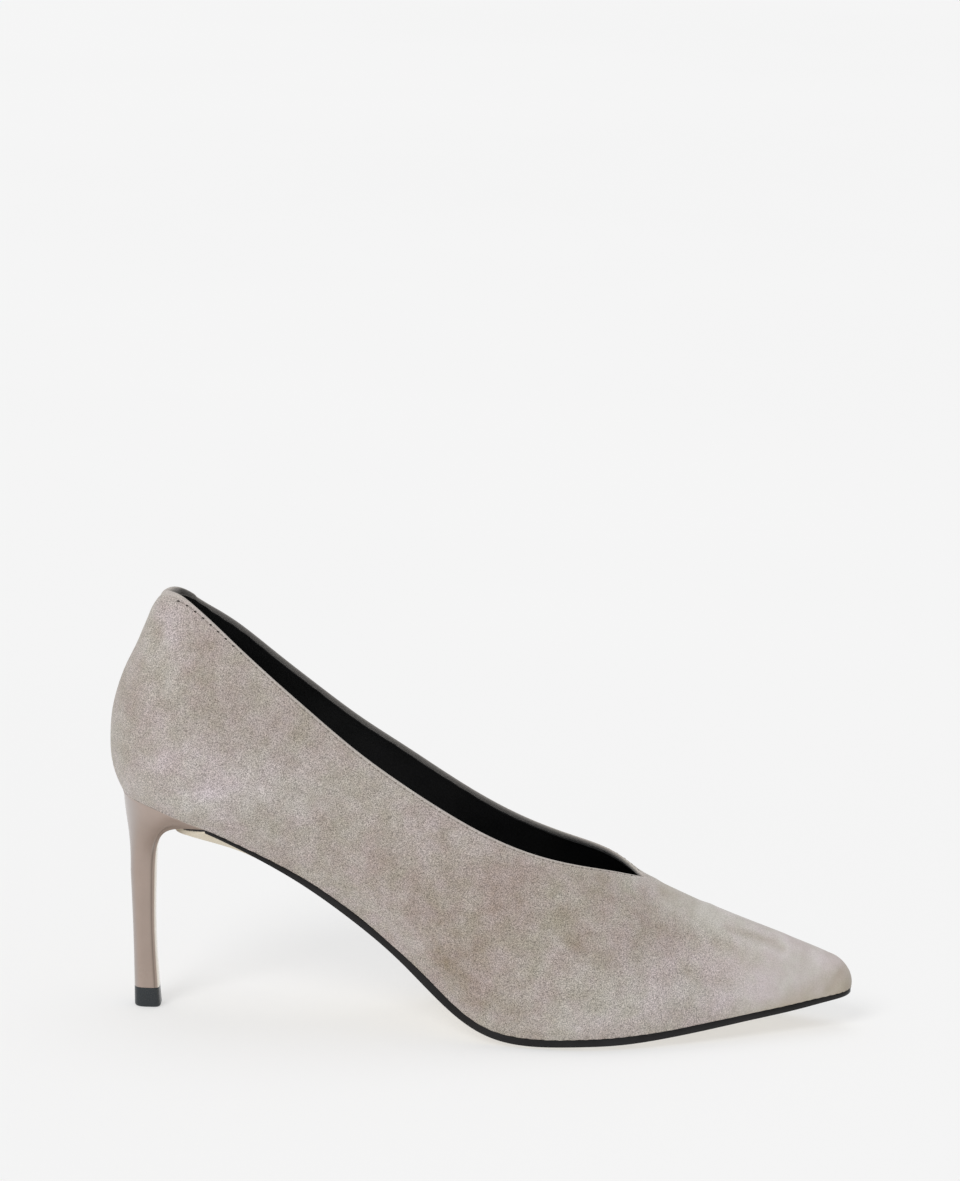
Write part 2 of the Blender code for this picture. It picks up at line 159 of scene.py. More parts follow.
FEATHER = (
    Feather(0.020, 0.000, 0.000, 27, 27),
    Feather(0.027, 0.114, 0.111, 29, 29),
    Feather(0.044, 0.206, 0.200, 32, 32),
    Feather(0.071, 0.275, 0.267, 34, 34),
    Feather(0.111, 0.311, 0.294, 33, 33),
    Feather(0.167, 0.306, 0.267, 29, 31),
    Feather(0.234, 0.286, 0.225, 26, 30),
    Feather(0.306, 0.278, 0.211, 25, 30),
    Feather(0.377, 0.314, 0.244, 24, 28),
    Feather(0.444, 0.392, 0.319, 21, 24),
    Feather(0.508, 0.467, 0.397, 18, 19),
    Feather(0.571, 0.511, 0.453, 16, 16),
    Feather(0.631, 0.519, 0.478, 15, 15),
    Feather(0.687, 0.484, 0.471, 14, 14),
    Feather(0.742, 0.418, 0.431, 13, 13),
    Feather(0.806, 0.324, 0.360, 12, 12),
    Feather(0.865, 0.226, 0.279, 11, 11),
    Feather(0.917, 0.140, 0.207, 11, 11),
    Feather(0.957, 0.071, 0.149, 12, 12),
    Feather(0.987, 0.021, 0.104, 12, 12),
    Feather(0.998, -0.042, 0.042, 12, 12),
)

RIM = (
    Rim(0.069, 0.000, 0.000, 1.001, 1.001, 31),
    Rim(0.075, 0.052, 0.052, 1.003, 1.002, 31),
    Rim(0.092, 0.088, 0.088, 0.9945, 0.992, 30),
    Rim(0.121, 0.146, 0.146, 0.960, 0.954, 26),
    Rim(0.162, 0.217, 0.217, 0.9025, 0.902, 23),
    Rim(0.214, 0.271, 0.271, 0.828, 0.826, 20),
    Rim(0.270, 0.307, 0.307, 0.7495, 0.748, 18),
    Rim(0.329, 0.326, 0.326, 0.668, 0.672, 16),
    Rim(0.389, 0.338, 0.338, 0.5965, 0.605, 16),
    Rim(0.448, 0.340, 0.340, 0.533, 0.540, 18),
    Rim(0.508, 0.331, 0.331, 0.477, 0.481, 24),
    Rim(0.567, 0.300, 0.300, 0.435, 0.438, 34),
    Rim(0.623, 0.244, 0.242, 0.407, 0.412, 48),
    Rim(0.675, 0.147, 0.144, 0.382, 0.390, 66),
    Rim(0.718, 0.000, 0.000, 0.3485, 0.3485, 82),
)

RIDGE = (
    Ridge(0.718, 0.000, 1.000),
    Ridge(0.776, 0.008, 0.874),
    Ridge(0.833, 0.017, 0.760),
    Ridge(0.883, 0.025, 0.668),
    Ridge(0.923, 0.032, 0.592),
    Ridge(0.952, 0.038, 0.535),
    Ridge(0.970, 0.042, 0.500),
)

STEM = (
    Stem(47.0, 12.2, 8.8, 9.6),
    Stem(26.0, 13.0, 7.8, 8.2),
    Stem(6.7, 14.2, 8.5, 8.6),
)

LIFT = (
    Stem(6.7, 14.2, 8.5, 8.7),
    Stem(6.4, 14.2, 8.5, 8.7),
    Stem(0.7, 14.6, 8.9, 9.2),
    Stem(0.0, 14.6, 8.9, 9.2),
)


# Arithmetic of surfaces


def column(rows: Sequence[NamedTuple], name: str) -> Array:
    """One named column of a table as an array."""
    return np.array([getattr(row, name) for row in rows], float)


def smooth(value: Array) -> Array:
    """An S curve that is 0 below 0 and 1 above 1."""
    share = np.clip(value, 0.0, 1.0)
    return share * share * (3.0 - 2.0 * share)


def unit(vectors: Array) -> Array:
    """Vectors scaled to length one along their last axis."""
    return vectors / np.linalg.norm(vectors, axis=-1, keepdims=True)


def bezier(start: Array, leave: Array, arrive: Array, end: Array, t: Array) -> Array:
    """Cubic through four control points: each point weighted by its Bernstein share of t."""
    back = 1.0 - t
    return back**3 * start + 3 * t * back**2 * leave + 3 * t**2 * back * arrive + t**3 * end


def spline(values: Array, at: Array, knots: Array | None = None) -> Array:
    """Natural cubic through rows of values.

    The slopes at the knots solve the three-term system of a curve whose bending has no jump, and each
    place is read from the Hermite cubic of its span.

    Args:
        values: one row for each knot.
        at: places to read, in the knots' units.
        knots: rising places of the rows, or None for 0, 1, 2 and so on.

    Returns:
        The curve at each place.
    """
    values = np.asarray(values, float)
    at = np.asarray(at, float)
    knots = np.arange(len(values), dtype=float) if knots is None else knots
    span = np.diff(knots)
    tail = (1,) * (values.ndim - 1)
    wide = span.reshape(-1, *tail)
    chord = np.diff(values, axis=0) / wide
    system = np.diag(np.r_[2.0, 2.0 * (span[:-1] + span[1:]), 2.0])
    system += np.diag(np.r_[1.0, span[:-1]], 1) + np.diag(np.r_[span[1:], 1.0], -1)
    inner = wide[1:] * chord[:-1] + wide[:-1] * chord[1:]
    target = 3.0 * np.concatenate([chord[:1], inner, chord[-1:]])
    slope = np.linalg.solve(system, target.reshape(len(values), -1)).reshape(values.shape)
    cell = np.clip(np.searchsorted(knots, at, side="right") - 1, 0, len(values) - 2)
    width = span[cell].reshape(at.shape + tail)
    t = ((at - knots[cell]) / span[cell]).reshape(at.shape + tail)
    rise = (2 * t**3 - 3 * t**2 + 1) * values[cell] + (3 * t**2 - 2 * t**3) * values[cell + 1]
    return rise + width * ((t**3 - 2 * t**2 + t) * slope[cell] + (t**3 - t**2) * slope[cell + 1])


def distance_to_path(x: Array, z: Array, path: Sequence[tuple[float, float]]) -> Array:
    """Distance in side view from points to a line of stretches: the least of those to each stretch.

    Args:
        x: the points' places along the shoe.
        z: their heights.
        path: corners of the line, along and up.

    Returns:
        The distance of each point.
    """
    corners = np.array(path, float)
    nearest = np.full(np.shape(x), np.inf)
    for start, end in zip(corners, corners[1:]):
        run = end - start
        share = np.clip(((x - start[0]) * run[0] + (z - start[1]) * run[1]) / (run @ run), 0.0, 1.0)
        apart = np.hypot(x - start[0] - share * run[0], z - start[1] - share * run[1])
        nearest = np.minimum(nearest, apart)
    return nearest


def grid_quads(rows: int, columns: int) -> Array:
    """Quads between neighbouring points of a grid, facing along rows x columns.

    Args:
        rows: how many rows of points.
        columns: how many points in a row.

    Returns:
        Four point numbers for each quad.
    """
    number = np.arange(rows * columns).reshape(rows, columns)
    corners = [number[:-1, :-1], number[1:, :-1], number[1:, 1:], number[:-1, 1:]]
    return np.stack(corners, axis=-1).reshape(-1, 4)


class Sheets:
    """Grids of points gathered into one mesh, welded where their points coincide."""

    WELD = 0.002
    SHARP = math.radians(48)

    def __init__(self) -> None:
        """Starts with no grids."""
        self.points: list[Array] = []
        self.quads: list[Array] = []
        self.marks: dict[str, list[Array]] = {}
        self.count = 0

    def add(self, grid: Array, flip: bool = False, **marks: Array | float) -> None:
        """Adds a grid of points as quads that face along rows x columns, or the other way.

        Args:
            grid: points in rows and columns, in millimetres.
            flip: turns the faces round.
            marks: a value for each point, or one for all, kept as an attribute under its name.
        """
        rows, columns = grid.shape[:2]
        quads = self.count + grid_quads(rows, columns)
        self.quads.append(quads[:, ::-1] if flip else quads)
        self.points.append(grid.reshape(-1, 3))
        for name, value in marks.items():
            self.marks.setdefault(name, []).append(np.broadcast_to(value, (rows, columns)).ravel())
        self.count += rows * columns

    def piece(self, name: str, last: "Last") -> bpy.types.Object:
        """Welds the grids and makes them one smooth shaded object in the frame of the solids.

        Args:
            name: name of the object.
            last: the last that the points are laid out on.

        Returns:
            The new object, at the origin with its place in its mesh.
        """
        points = np.concatenate(self.points)
        cells = np.round(points / self.WELD).astype(np.int64)
        _, first, same = np.unique(cells, axis=0, return_index=True, return_inverse=True)
        quads = same.ravel()[np.concatenate(self.quads)]
        apart = quads != np.roll(quads, -1, axis=1)
        whole, cut = apart.sum(axis=1) == 4, apart.sum(axis=1) == 3
        faces = quads[whole].tolist() + quads[cut][apart[cut]].reshape(-1, 3).tolist()
        mesh = bpy.data.meshes.new(name)
        mesh.from_pydata(last.place(points[first]).tolist(), [], faces)
        for mark, values in self.marks.items():
            kept = np.concatenate(values)[first].astype(np.float32)
            mesh.attributes.new(mark, "FLOAT", "POINT").data.foreach_set("value", kept)
        mesh.shade_smooth()
        mesh.set_sharp_from_angle(angle=self.SHARP)
        made = bpy.data.objects.new(name, mesh)
        bpy.context.scene.collection.objects.link(made)
        return made


# The last


@dataclass(frozen=True)
class Last:
    """The shape of the foot that the shoe is made on, from a few driving sizes and its tables."""

    length: float = 252.0
    ball_width: float = 72.0
    seat_height: float = 74.6
    ball_height: float = 3.9
    toe_spring: float = 9.6
    collar_height: float = 143.4
    instep_height: float = 50.0
    lower_handle: float = 0.38
    upper_handle: float = 0.30
    fairing_width: float = 1.0
    fairing_reach: float = 1.8
    fairing_rows: float = 0.13
    tip_turn: float = 0.7
    plan_step: float = 0.02
    plan_count: int = 40
    throat: int = len(RIM) - 1
    tip: int = len(FEATHER) - 1

    def place(self, points: Array) -> Array:
        """Moves the layout to the frame of the solids, by the box of the top lift.

        Args:
            points: places in layout millimetres.

        Returns:
            The places in metres.
        """
        low, high = (np.array(corner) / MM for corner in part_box("top_lift"))
        back = LIFT[0].middle - LIFT[0].depth / 2
        return (points + (low[0] - back, (low[1] + high[1]) / 2, low[2])) * MM

    def side_view(self, x: Array, name: str) -> Array:
        """One column of the side view at places x."""
        return spline(column(PROFILE, name), np.asarray(x) / self.length, column(PROFILE, "along"))

    def edge_height(self, x: Array) -> Array:
        """Height of the feather line: the ball's, plus the shank's rise, plus the toe spring."""
        rise = self.side_view(x, "shank") * (self.seat_height - self.ball_height)
        return self.ball_height + rise + self.side_view(x, "toe") * self.toe_spring

    def feather_plan(self, at: Array) -> Array:
        """Plan of the feather line, one spline from the tip round the back to the tip.

        Args:
            at: signed stations.

        Returns:
            Plan points.
        """
        along = column(FEATHER, "along") * self.length
        outer = np.column_stack([along, -column(FEATHER, "outer") * self.ball_width])
        inner = np.column_stack([along, column(FEATHER, "inner") * self.ball_width])
        return spline(np.concatenate([inner[::-1], outer[1:]]), self.tip - at)

    def heading(self) -> Array:
        """Direction in plan in which the ridge reaches the toe."""
        ends = np.array(RIDGE)[-2:, :2] * (self.length, self.ball_width)
        return unit(ends[1] - ends[0])

    def feather_line(self, at: Array) -> tuple[Array, Array]:
        """The feather line and the inward direction in plan, square to it and along the ridge at the tip.

        Args:
            at: signed stations.

        Returns:
            Points, and unit inward directions in plan.
        """
        ahead = self.feather_plan(np.minimum(at + self.plan_step, self.tip))
        along = ahead - self.feather_plan(np.maximum(at - self.plan_step, -self.tip))
        inward = unit(np.column_stack([along[:, 1], -along[:, 0]]))
        end = np.clip((np.abs(at) - self.tip + self.tip_turn) / self.tip_turn, 0, 1)[:, None]
        inward = unit(inward * (1 - end) - self.heading() * end)
        plan = self.feather_plan(at)
        return np.column_stack([plan, self.edge_height(plan[:, 0])]), inward

    def bottom_height(self, x: Array, y: Array) -> Array:
        """Height of the bottom of the last: the feather line's, less a crown that is full in the middle.

        Args:
            x: places along the shoe.
            y: places across it.

        Returns:
            The height at each place.
        """
        at = np.linspace(0, self.tip, self.plan_count * self.tip)
        outer, inner = self.feather_plan(-at), self.feather_plan(at)
        right = np.interp(x, outer[:, 0], outer[:, 1])
        left = np.interp(x, inner[:, 0], inner[:, 1])
        across = np.clip((y - (left + right) / 2) / np.maximum((left - right) / 2, 1.0), -1, 1)
        return self.edge_height(x) - self.side_view(x, "crown") * (1 - across**2)

    def top_line(self, at: Array) -> Array:
        """Top edge of the wall: the topline round the collar, and the vamp's ridge ahead of the throat.

        Args:
            at: signed stations.

        Returns:
            Points of the edge.
        """
        sides = []
        for side, name, height in (
            (Side.INNER, "inner", "height_inner"),
            (Side.OUTER, "outer", "height_outer"),
        ):
            aside = side.value * column(RIM, name) * self.ball_width
            along = column(RIM, "along") * self.length
            sides.append(np.column_stack([along, aside, column(RIM, height) * self.collar_height]))
        collar = spline(np.concatenate([sides[0][::-1], sides[1][1:]]), self.throat - at)
        scale = (self.length, self.ball_width, self.instep_height)
        crest = spline(np.array(RIDGE) * scale, np.abs(at) - self.throat)
        return np.where(np.abs(at)[:, None] <= self.throat, collar, crest)

    def closing(self, at: Array, inward: Array) -> Array:
        """Direction of the wall at its top edge: leaning in, and along the ridge ahead of the throat.

        Args:
            at: signed stations.
            inward: unit inward directions in plan.

        Returns:
            Unit directions.
        """
        ridge = np.array(RIDGE) * (self.length, self.ball_width, self.instep_height)
        fall = (ridge[-1, 2] - ridge[0, 2]) / (ridge[-1, 0] - ridge[0, 0])
        lean = np.radians(spline(column(RIM, "lean"), np.minimum(np.abs(at), self.throat)))
        collar = np.abs(at) <= self.throat
        level = np.where(collar, np.sin(lean), 1.0)
        upward = np.where(collar, np.cos(lean), inward[:, 0] * fall)
        return unit(np.column_stack([inward * level[:, None], upward]))

    def wall(self, at: Array, share: Array, lip: Array) -> Array:
        """Outside of the upper: at each station a cubic from the feather line to the top edge.

        Its lower handle leans out by the flare and its upper handle lies back along the closing direction.
        About the throat the lines are evened out along the shoe by a bell of one station.

        Args:
            at: signed stations.
            share: shares of the height of each line.
            lip: how far below the top edge each line stops.

        Returns:
            Points by station and share.
        """
        foot, inward = self.feather_line(at)
        top = self.top_line(at)
        names = {Side.OUTER: "flare_outer", Side.INNER: "flare_inner"}
        flares = {side: spline(column(FEATHER, name), np.abs(at)) for side, name in names.items()}
        flare = np.radians(np.where(at < 0, flares[Side.OUTER], flares[Side.INNER]))[:, None]
        chord = np.linalg.norm(top - foot, axis=1)[:, None]
        outward = np.column_stack([-inward * np.sin(flare), np.cos(flare)])
        leave = foot + outward * chord * self.lower_handle
        arrive = top - self.closing(at, inward) * chord * self.upper_handle
        t = share[None, :, None] * (1 - lip[:, None] / (3 * self.upper_handle * chord))[:, :, None]
        grid = bezier(foot[:, None], leave[:, None], arrive[:, None], top[:, None], t)
        bell = np.exp(-(((at[:, None] - at[None, :]) / self.fairing_width) ** 2))
        even = np.einsum("ij,jkl->ikl", bell / bell.sum(axis=1, keepdims=True), grid)
        near = np.exp(-(((np.abs(at) - self.throat) / self.fairing_reach) ** 2))[:, None, None]
        inside = smooth(np.minimum(share, 1 - share) / self.fairing_rows)[None, :, None]
        return grid + near * inside * (even - grid)


# The upper's surface


class Swell(NamedTuple):
    """A soft rise or hollow of the back: its height, how far it lifts the surface and its spread."""

    height: float
    lift: float
    spread: float


BACK_SWELLS = (
    Swell(137.0, 0.5, 3.4),
    Swell(124.5, -0.85, 8.5),
    Swell(83.0, 0.45, 9.0),
)


class Wave(NamedTuple):
    """A faint dapple of the leather: its share, and the lengths, sway and starts of its two sines."""

    share: float
    along_x: float
    along_z: float
    sway: float
    sway_z: float
    along_start: float
    up_z: float
    up_x: float
    up_start: float

    def lift(self, x: Array, z: Array) -> Array:
        """Height of the dapple: a sine along the shoe, swayed with height, times a sine up it.

        Args:
            x: places along the shoe.
            z: heights.

        Returns:
            The height at each place.
        """
        along = x / self.along_x + z / self.along_z + self.sway * np.sin(z / self.sway_z) + self.along_start
        return self.share * np.sin(along) * np.sin(z / self.up_z + x / self.up_x + self.up_start)


WAVES = (
    Wave(1.0, 7.1, math.inf, 1.3, 11.0, 0.0, 8.3, 29.0, 0.8),
    Wave(0.6, 3.9, 6.1, 0.0, 1.0, 2.0, 4.7, -15.0, 0.0),
)


@dataclass(frozen=True)
class Crease:
    """A soft trough with low ridges beside it, along a line in side view, on one side of the shoe."""

    path: tuple[tuple[float, float], ...]
    depth: float
    width: float
    side: Side = Side.OUTER
    ridge_apart: ClassVar[float] = 1.9
    ridge_rise: ClassVar[float] = 0.45
    ridge_highlight: ClassVar[float] = 0.3
    side_from: ClassVar[float] = 2.0
    side_fade: ClassVar[float] = 8.0

    def trough(self, points: Array, ridge: float) -> Array:
        """A bell down the crease's line and a lower bell up on either side, fading to the other side.

        Args:
            points: points of the surface.
            ridge: height of the bells beside the line.

        Returns:
            The crease's height at each point.
        """
        apart = distance_to_path(points[..., 0], points[..., 2], self.path) / self.width
        share = smooth(0.5 + self.side.value * (points[..., 1] - self.side_from) / self.side_fade)
        bells = ridge * np.exp(-((apart - self.ridge_apart) ** 2)) - np.exp(-(apart**2))
        return self.depth * share * bells

    def lift(self, points: Array) -> Array:
        """How far the crease moves the surface."""
        return self.trough(points, self.ridge_rise)

    def shade(self, points: Array) -> Array:
        """How far the colour darkens in the trough and pales on the ridges: painted shade and painted
        highlight.
        """
        return self.trough(points, self.ridge_highlight)


CREASES = (
    Crease(((207.4, 36.0), (210.8, 34.6), (217.0, 32.5), (223.9, 30.2), (227.3, 28.3)), 0.34, 1.15),
    Crease(((204.6, 33.0), (208.0, 32.5), (210.7, 30.6), (213.5, 28.1)), 0.18, 1.6),
    Crease(((186, 47.0), (191, 45.0), (197, 42.4)), 0.22, 1.7),
    Crease(((248, 20.6), (246, 18.6), (245, 16.2), (243.5, 14.4)), 0.20, 1.5),
    Crease(((196, 25.0), (203, 21.5), (210, 19.5)), 0.22, 2.6),
    Crease(((16, 132), (17, 121), (18.5, 110)), 0.26, 2.8),
    Crease(((112, 30), (118, 22.5), (126, 15)), 0.24, 3.2),
    Crease(((150, 44), (158, 36), (167, 31)), 0.20, 3.4),
    Crease(((204, 37.0), (214, 33.0), (225, 28.6)), 0.28, 1.8, Side.INNER),
    Crease(((112, 31), (120, 22), (128, 14)), 0.26, 3.0, Side.INNER),
    Crease(((187, 46.5), (194, 43.4), (200, 41)), 0.22, 1.8, Side.INNER),
)


@dataclass(frozen=True)
class NapWearAndPaintedLightPatch:
    """A soft spot lighter or darker, warmer or cooler: in the nap patches partly nap lying another way and
    partly painted light and shade, in the tan patches wear.
    """

    x: float
    z: float
    long: float
    high: float
    lift: float
    warmth: float = 0.0
    slope: float = 0.0
    waver: ClassVar[float] = 1.4
    waver_x: ClassVar[tuple[float, float]] = (5.3, 2.9)
    waver_z: ClassVar[tuple[float, float]] = (3.3, -4.1)

    def spread(self, points: Array) -> Array:
        """A bell round the spot in side view, longer along its slope, with an edge that wavers by sines.

        Args:
            points: points of the surface.

        Returns:
            The spot's share of each point.
        """
        turn = math.radians(self.slope)
        place_x, place_z = points[..., 0], points[..., 2]
        x = place_x - self.x + self.waver * np.sin(place_z / self.waver_x[1] + place_x / self.waver_x[0])
        z = place_z - self.z + self.waver * np.sin(place_x / self.waver_z[0] + place_z / self.waver_z[1])
        along = (x * math.cos(turn) + z * math.sin(turn)) / self.long
        across = (z * math.cos(turn) - x * math.sin(turn)) / self.high
        return np.exp(-(along**2) - across**2)


# Nap patches: partly nap lying another way, partly painted light and shade that makes the counter and toe
# lighter and the middle of the quarter darker.
NAP_AND_PAINTED_LIGHT = (
    NapWearAndPaintedLightPatch(18, 122, 4, 14, 0.30),
    NapWearAndPaintedLightPatch(31, 128, 8, 5, -0.14),
    NapWearAndPaintedLightPatch(21, 92, 8, 7, 0.26, 0.1),
    NapWearAndPaintedLightPatch(34, 92, 8, 6, 0.15, 0.1),
    NapWearAndPaintedLightPatch(11, 82, 9, 6, 0.14),
    NapWearAndPaintedLightPatch(9, 91, 7, 6, -0.11),
    NapWearAndPaintedLightPatch(32, 78, 10, 6, 0.40, 0.1),
    NapWearAndPaintedLightPatch(44, 85, 12, 8, 0.24, 0.1),
    NapWearAndPaintedLightPatch(57, 84, 13, 8, 0.15),
    NapWearAndPaintedLightPatch(64, 88, 6, 5, -0.09),
    NapWearAndPaintedLightPatch(68, 76, 10, 12, 0.13),
    NapWearAndPaintedLightPatch(76, 70, 6, 7, -0.15),
    NapWearAndPaintedLightPatch(104, 65, 5, 6, 0.14),
    NapWearAndPaintedLightPatch(111, 67, 6, 5, -0.16),
    NapWearAndPaintedLightPatch(45, 121, 8, 6, 0.07),
    NapWearAndPaintedLightPatch(10, 110, 5, 8, -0.18, 0.4),
    NapWearAndPaintedLightPatch(20, 106, 5, 4, -0.10, 0.2),
    NapWearAndPaintedLightPatch(31, 116, 7, 12, -0.18, 0.2),
    NapWearAndPaintedLightPatch(41, 112, 5, 8, -0.14, 0.1),
    NapWearAndPaintedLightPatch(68, 103, 10, 6, -0.11),
    NapWearAndPaintedLightPatch(90, 64, 7, 8, -0.14, 0.1),
    NapWearAndPaintedLightPatch(99, 58, 6, 6, -0.14),
    NapWearAndPaintedLightPatch(105, 49, 7, 6, -0.18, 0.1),
    NapWearAndPaintedLightPatch(110, 41, 7, 6, -0.13),
    NapWearAndPaintedLightPatch(112, 23, 5, 6, -0.16),
    NapWearAndPaintedLightPatch(117, 33, 9, 9, -0.20, 0.2),
    NapWearAndPaintedLightPatch(121, 59, 6, 5, -0.15, 0.1),
    NapWearAndPaintedLightPatch(125, 26, 8, 9, -0.18, 0.3),
    NapWearAndPaintedLightPatch(132, 15, 12, 8, -0.20),
    NapWearAndPaintedLightPatch(140, 4, 9, 4, -0.18),
    NapWearAndPaintedLightPatch(133, 54, 7, 9, -0.18, 0.4),
    NapWearAndPaintedLightPatch(136, 46, 30, 16, -0.17),
    NapWearAndPaintedLightPatch(157, 41, 6, 5, -0.10),
    NapWearAndPaintedLightPatch(167, 51, 6, 5, -0.11, 0.2),
    NapWearAndPaintedLightPatch(179, 45, 5, 4, -0.12),
    NapWearAndPaintedLightPatch(183, 38, 8, 7, -0.20, -0.1),
    NapWearAndPaintedLightPatch(177, 52, 5, 4, 0.20, -0.5),
    NapWearAndPaintedLightPatch(165, 11, 12, 6, 0.26),
    NapWearAndPaintedLightPatch(187, 18, 13, 7, 0.23),
    NapWearAndPaintedLightPatch(200, 42, 18, 6, 0.36, -0.3, -23),
    NapWearAndPaintedLightPatch(216, 13, 14, 7, 0.10),
    NapWearAndPaintedLightPatch(229, 22, 25, 22, 0.44, -0.1),
    NapWearAndPaintedLightPatch(241, 23, 8, 6, 0.12),
    NapWearAndPaintedLightPatch(217, 20, 7, 5, 0.14),
    NapWearAndPaintedLightPatch(199, 35, 6, 4, -0.10),
    NapWearAndPaintedLightPatch(249, 15, 6, 8, -0.13, -0.1),
    NapWearAndPaintedLightPatch(244, 12, 9, 2.2, -0.22, 0.0, 12),
)

# Where wear has turned the toe tan: at the tip, along the feather and on top of the vamp
TAN = (
    NapWearAndPaintedLightPatch(249, 17, 6, 9, 0.30),
    NapWearAndPaintedLightPatch(230, 8, 20, 6, 0.48, slope=10),
    NapWearAndPaintedLightPatch(212, 26, 11, 7, 0.16),
    NapWearAndPaintedLightPatch(188, 50, 14, 4, 0.16, slope=-26),
)


@dataclass
class Wall:
    """The outside of the upper on a grid of signed stations and heights, with its normals and creases."""

    last: Last
    steps: int = 10
    rows: int = 48
    crowding: float = 1.6
    thick: float = 1.4
    lip: float = 0.5
    lip_fade: float = 0.7
    pad_reach: float = 2.6
    pad_fade: float = 1.6
    pad_thick: float = 2.4
    pad_down: float = 12.0
    pad_lip: float = 1.4
    swell_reach: float = 2.0
    wave: float = 0.10
    seam_depth: float = 0.28
    seam_width: float = 0.7
    stitch_groove: float = 0.14
    groove_wide: float = 0.45
    groove_past: float = 0.1
    groove_fade: float = 0.3
    seam_near: float = 0.35
    seam_drop: float = 1.05
    seam_from: float = 3.9
    seam_over: float = 2.2
    wave_fade: float = 6.0
    stations: Array = field(init=False)
    points: Array = field(init=False)
    normals: Array = field(init=False)
    below: Array = field(init=False)

    def __post_init__(self) -> None:
        """Works out the surface, moves it along its normals by the relief, and measures it from the top."""
        tip, throat = self.last.tip, self.last.throat
        self.stations = np.arange(-tip * self.steps, tip * self.steps + 1) / self.steps
        share = 1 - (1 - np.linspace(0, 1, self.rows + 1)) ** self.crowding
        lip = self.lip + self.pad_lip * self.padding
        lip = lip * smooth((throat - np.abs(self.stations)) / self.lip_fade)
        self.points = self.joined(self.last.wall(self.stations, share, lip))
        self.normals = self.facing()
        self.measure()
        self.points = self.joined(self.points + self.normals * self.relief()[..., None])
        self.normals = self.facing()
        self.measure()

    @property
    def padding(self) -> Array:
        """Share of the collar's padding at each station, full at the back."""
        return smooth((self.pad_reach - np.abs(self.stations)) / self.pad_fade)

    @property
    def seam_below(self) -> Array:
        """How far below the turned edge the stitches run, nearer to it away from the back."""
        behind = smooth((self.seam_from - np.abs(self.stations)) / self.seam_over)
        return self.seam_near + self.seam_drop * behind

    def thickness(self, below: Array) -> Array:
        """Thickness of suede and padding at distances below the top: the pad fades downwards."""
        return self.thick + self.pad_thick * self.padding[:, None] * np.exp(-below / self.pad_down)

    @property
    def collar(self) -> Array:
        """Which stations have a topline."""
        return np.abs(self.stations) <= self.last.throat

    def joined(self, grid: Array) -> Array:
        """Sets the inner side's ridge and tip exactly on the outer side's.

        Args:
            grid: points by station and row.

        Returns:
            The joined grid.
        """
        made = grid.copy()
        ahead = self.stations >= self.last.throat
        made[ahead, -1] = grid[::-1][ahead, -1]
        made[-1] = grid[0]
        return made

    def facing(self) -> Array:
        """Outward normals: the cross products of the quads' diagonals, summed where corners are shared.

        Returns:
            A unit normal for each point.
        """
        count, rows = self.points.shape[:2]
        same = np.arange(count * rows).reshape(count, rows)
        ahead = self.stations >= self.last.throat
        same[ahead, -1] = same[::-1][ahead, -1]
        same[-1] = same[0]
        rising = self.points[1:, 1:] - self.points[:-1, :-1]
        falling = self.points[:-1, 1:] - self.points[1:, :-1]
        cross = np.cross(falling, rising).reshape(-1, 3)
        total = np.zeros((count * rows, 3))
        for corner in (same[:-1, :-1], same[1:, :-1], same[1:, 1:], same[:-1, 1:]):
            np.add.at(total, corner.ravel(), cross)
        return unit(total[same])

    def measure(self) -> None:
        """Measures every point's distance below the top edge, along its station's line."""
        steps = np.linalg.norm(np.diff(self.points, axis=1), axis=2)
        rest = np.cumsum(steps[:, ::-1], axis=1)[:, ::-1]
        self.below = np.concatenate([rest, np.zeros((len(rest), 1))], axis=1)

    def relief(self) -> Array:
        """Height of the relief: long waves, creases, the back's swells and seam, and the stitched groove.

        Returns:
            The height at each point.
        """
        x, y, z = np.moveaxis(self.points, -1, 0)
        lift = self.wave * sum(wave.lift(x, z) for wave in WAVES) * smooth(self.below / self.wave_fade)
        lift += sum(crease.lift(self.points) for crease in CREASES)
        bells = (rise * np.exp(-(((z - height) / spread) ** 2)) for height, rise, spread in BACK_SWELLS)
        lift += sum(bells) * np.exp(-((self.stations / self.swell_reach) ** 2))[:, None]
        back = self.points[len(self.stations) // 2]
        aside = np.hypot(y - back[None, :, 1], x - back[None, :, 0])
        lift -= self.seam_depth * np.exp(-((aside / self.seam_width) ** 2))
        groove = np.exp(-(((self.below - self.seam_below[:, None]) / self.groove_wide) ** 2))
        ahead = self.last.throat + self.groove_past - np.abs(self.stations)
        return lift - self.stitch_groove * groove * smooth(ahead / self.groove_fade)[:, None]

    def line(self, below: Array) -> tuple[Array, Array]:
        """The line at a distance below the top edge, given for each station.

        Args:
            below: millimetres below the top edge at each station.

        Returns:
            Points and normals of the line, read between the rows on either side.
        """
        low = np.clip((self.below > below[:, None]).sum(axis=1) - 1, 0, self.rows - 1)
        here = np.arange(len(self.stations))
        lower, upper = self.below[here, low], self.below[here, low + 1]
        share = np.clip((lower - below) / (lower - upper), 0, 1)[:, None]
        points = self.points[here, low] * (1 - share) + self.points[here, low + 1] * share
        normals = self.normals[here, low] * (1 - share) + self.normals[here, low + 1] * share
        return points, unit(normals)


# Node trees


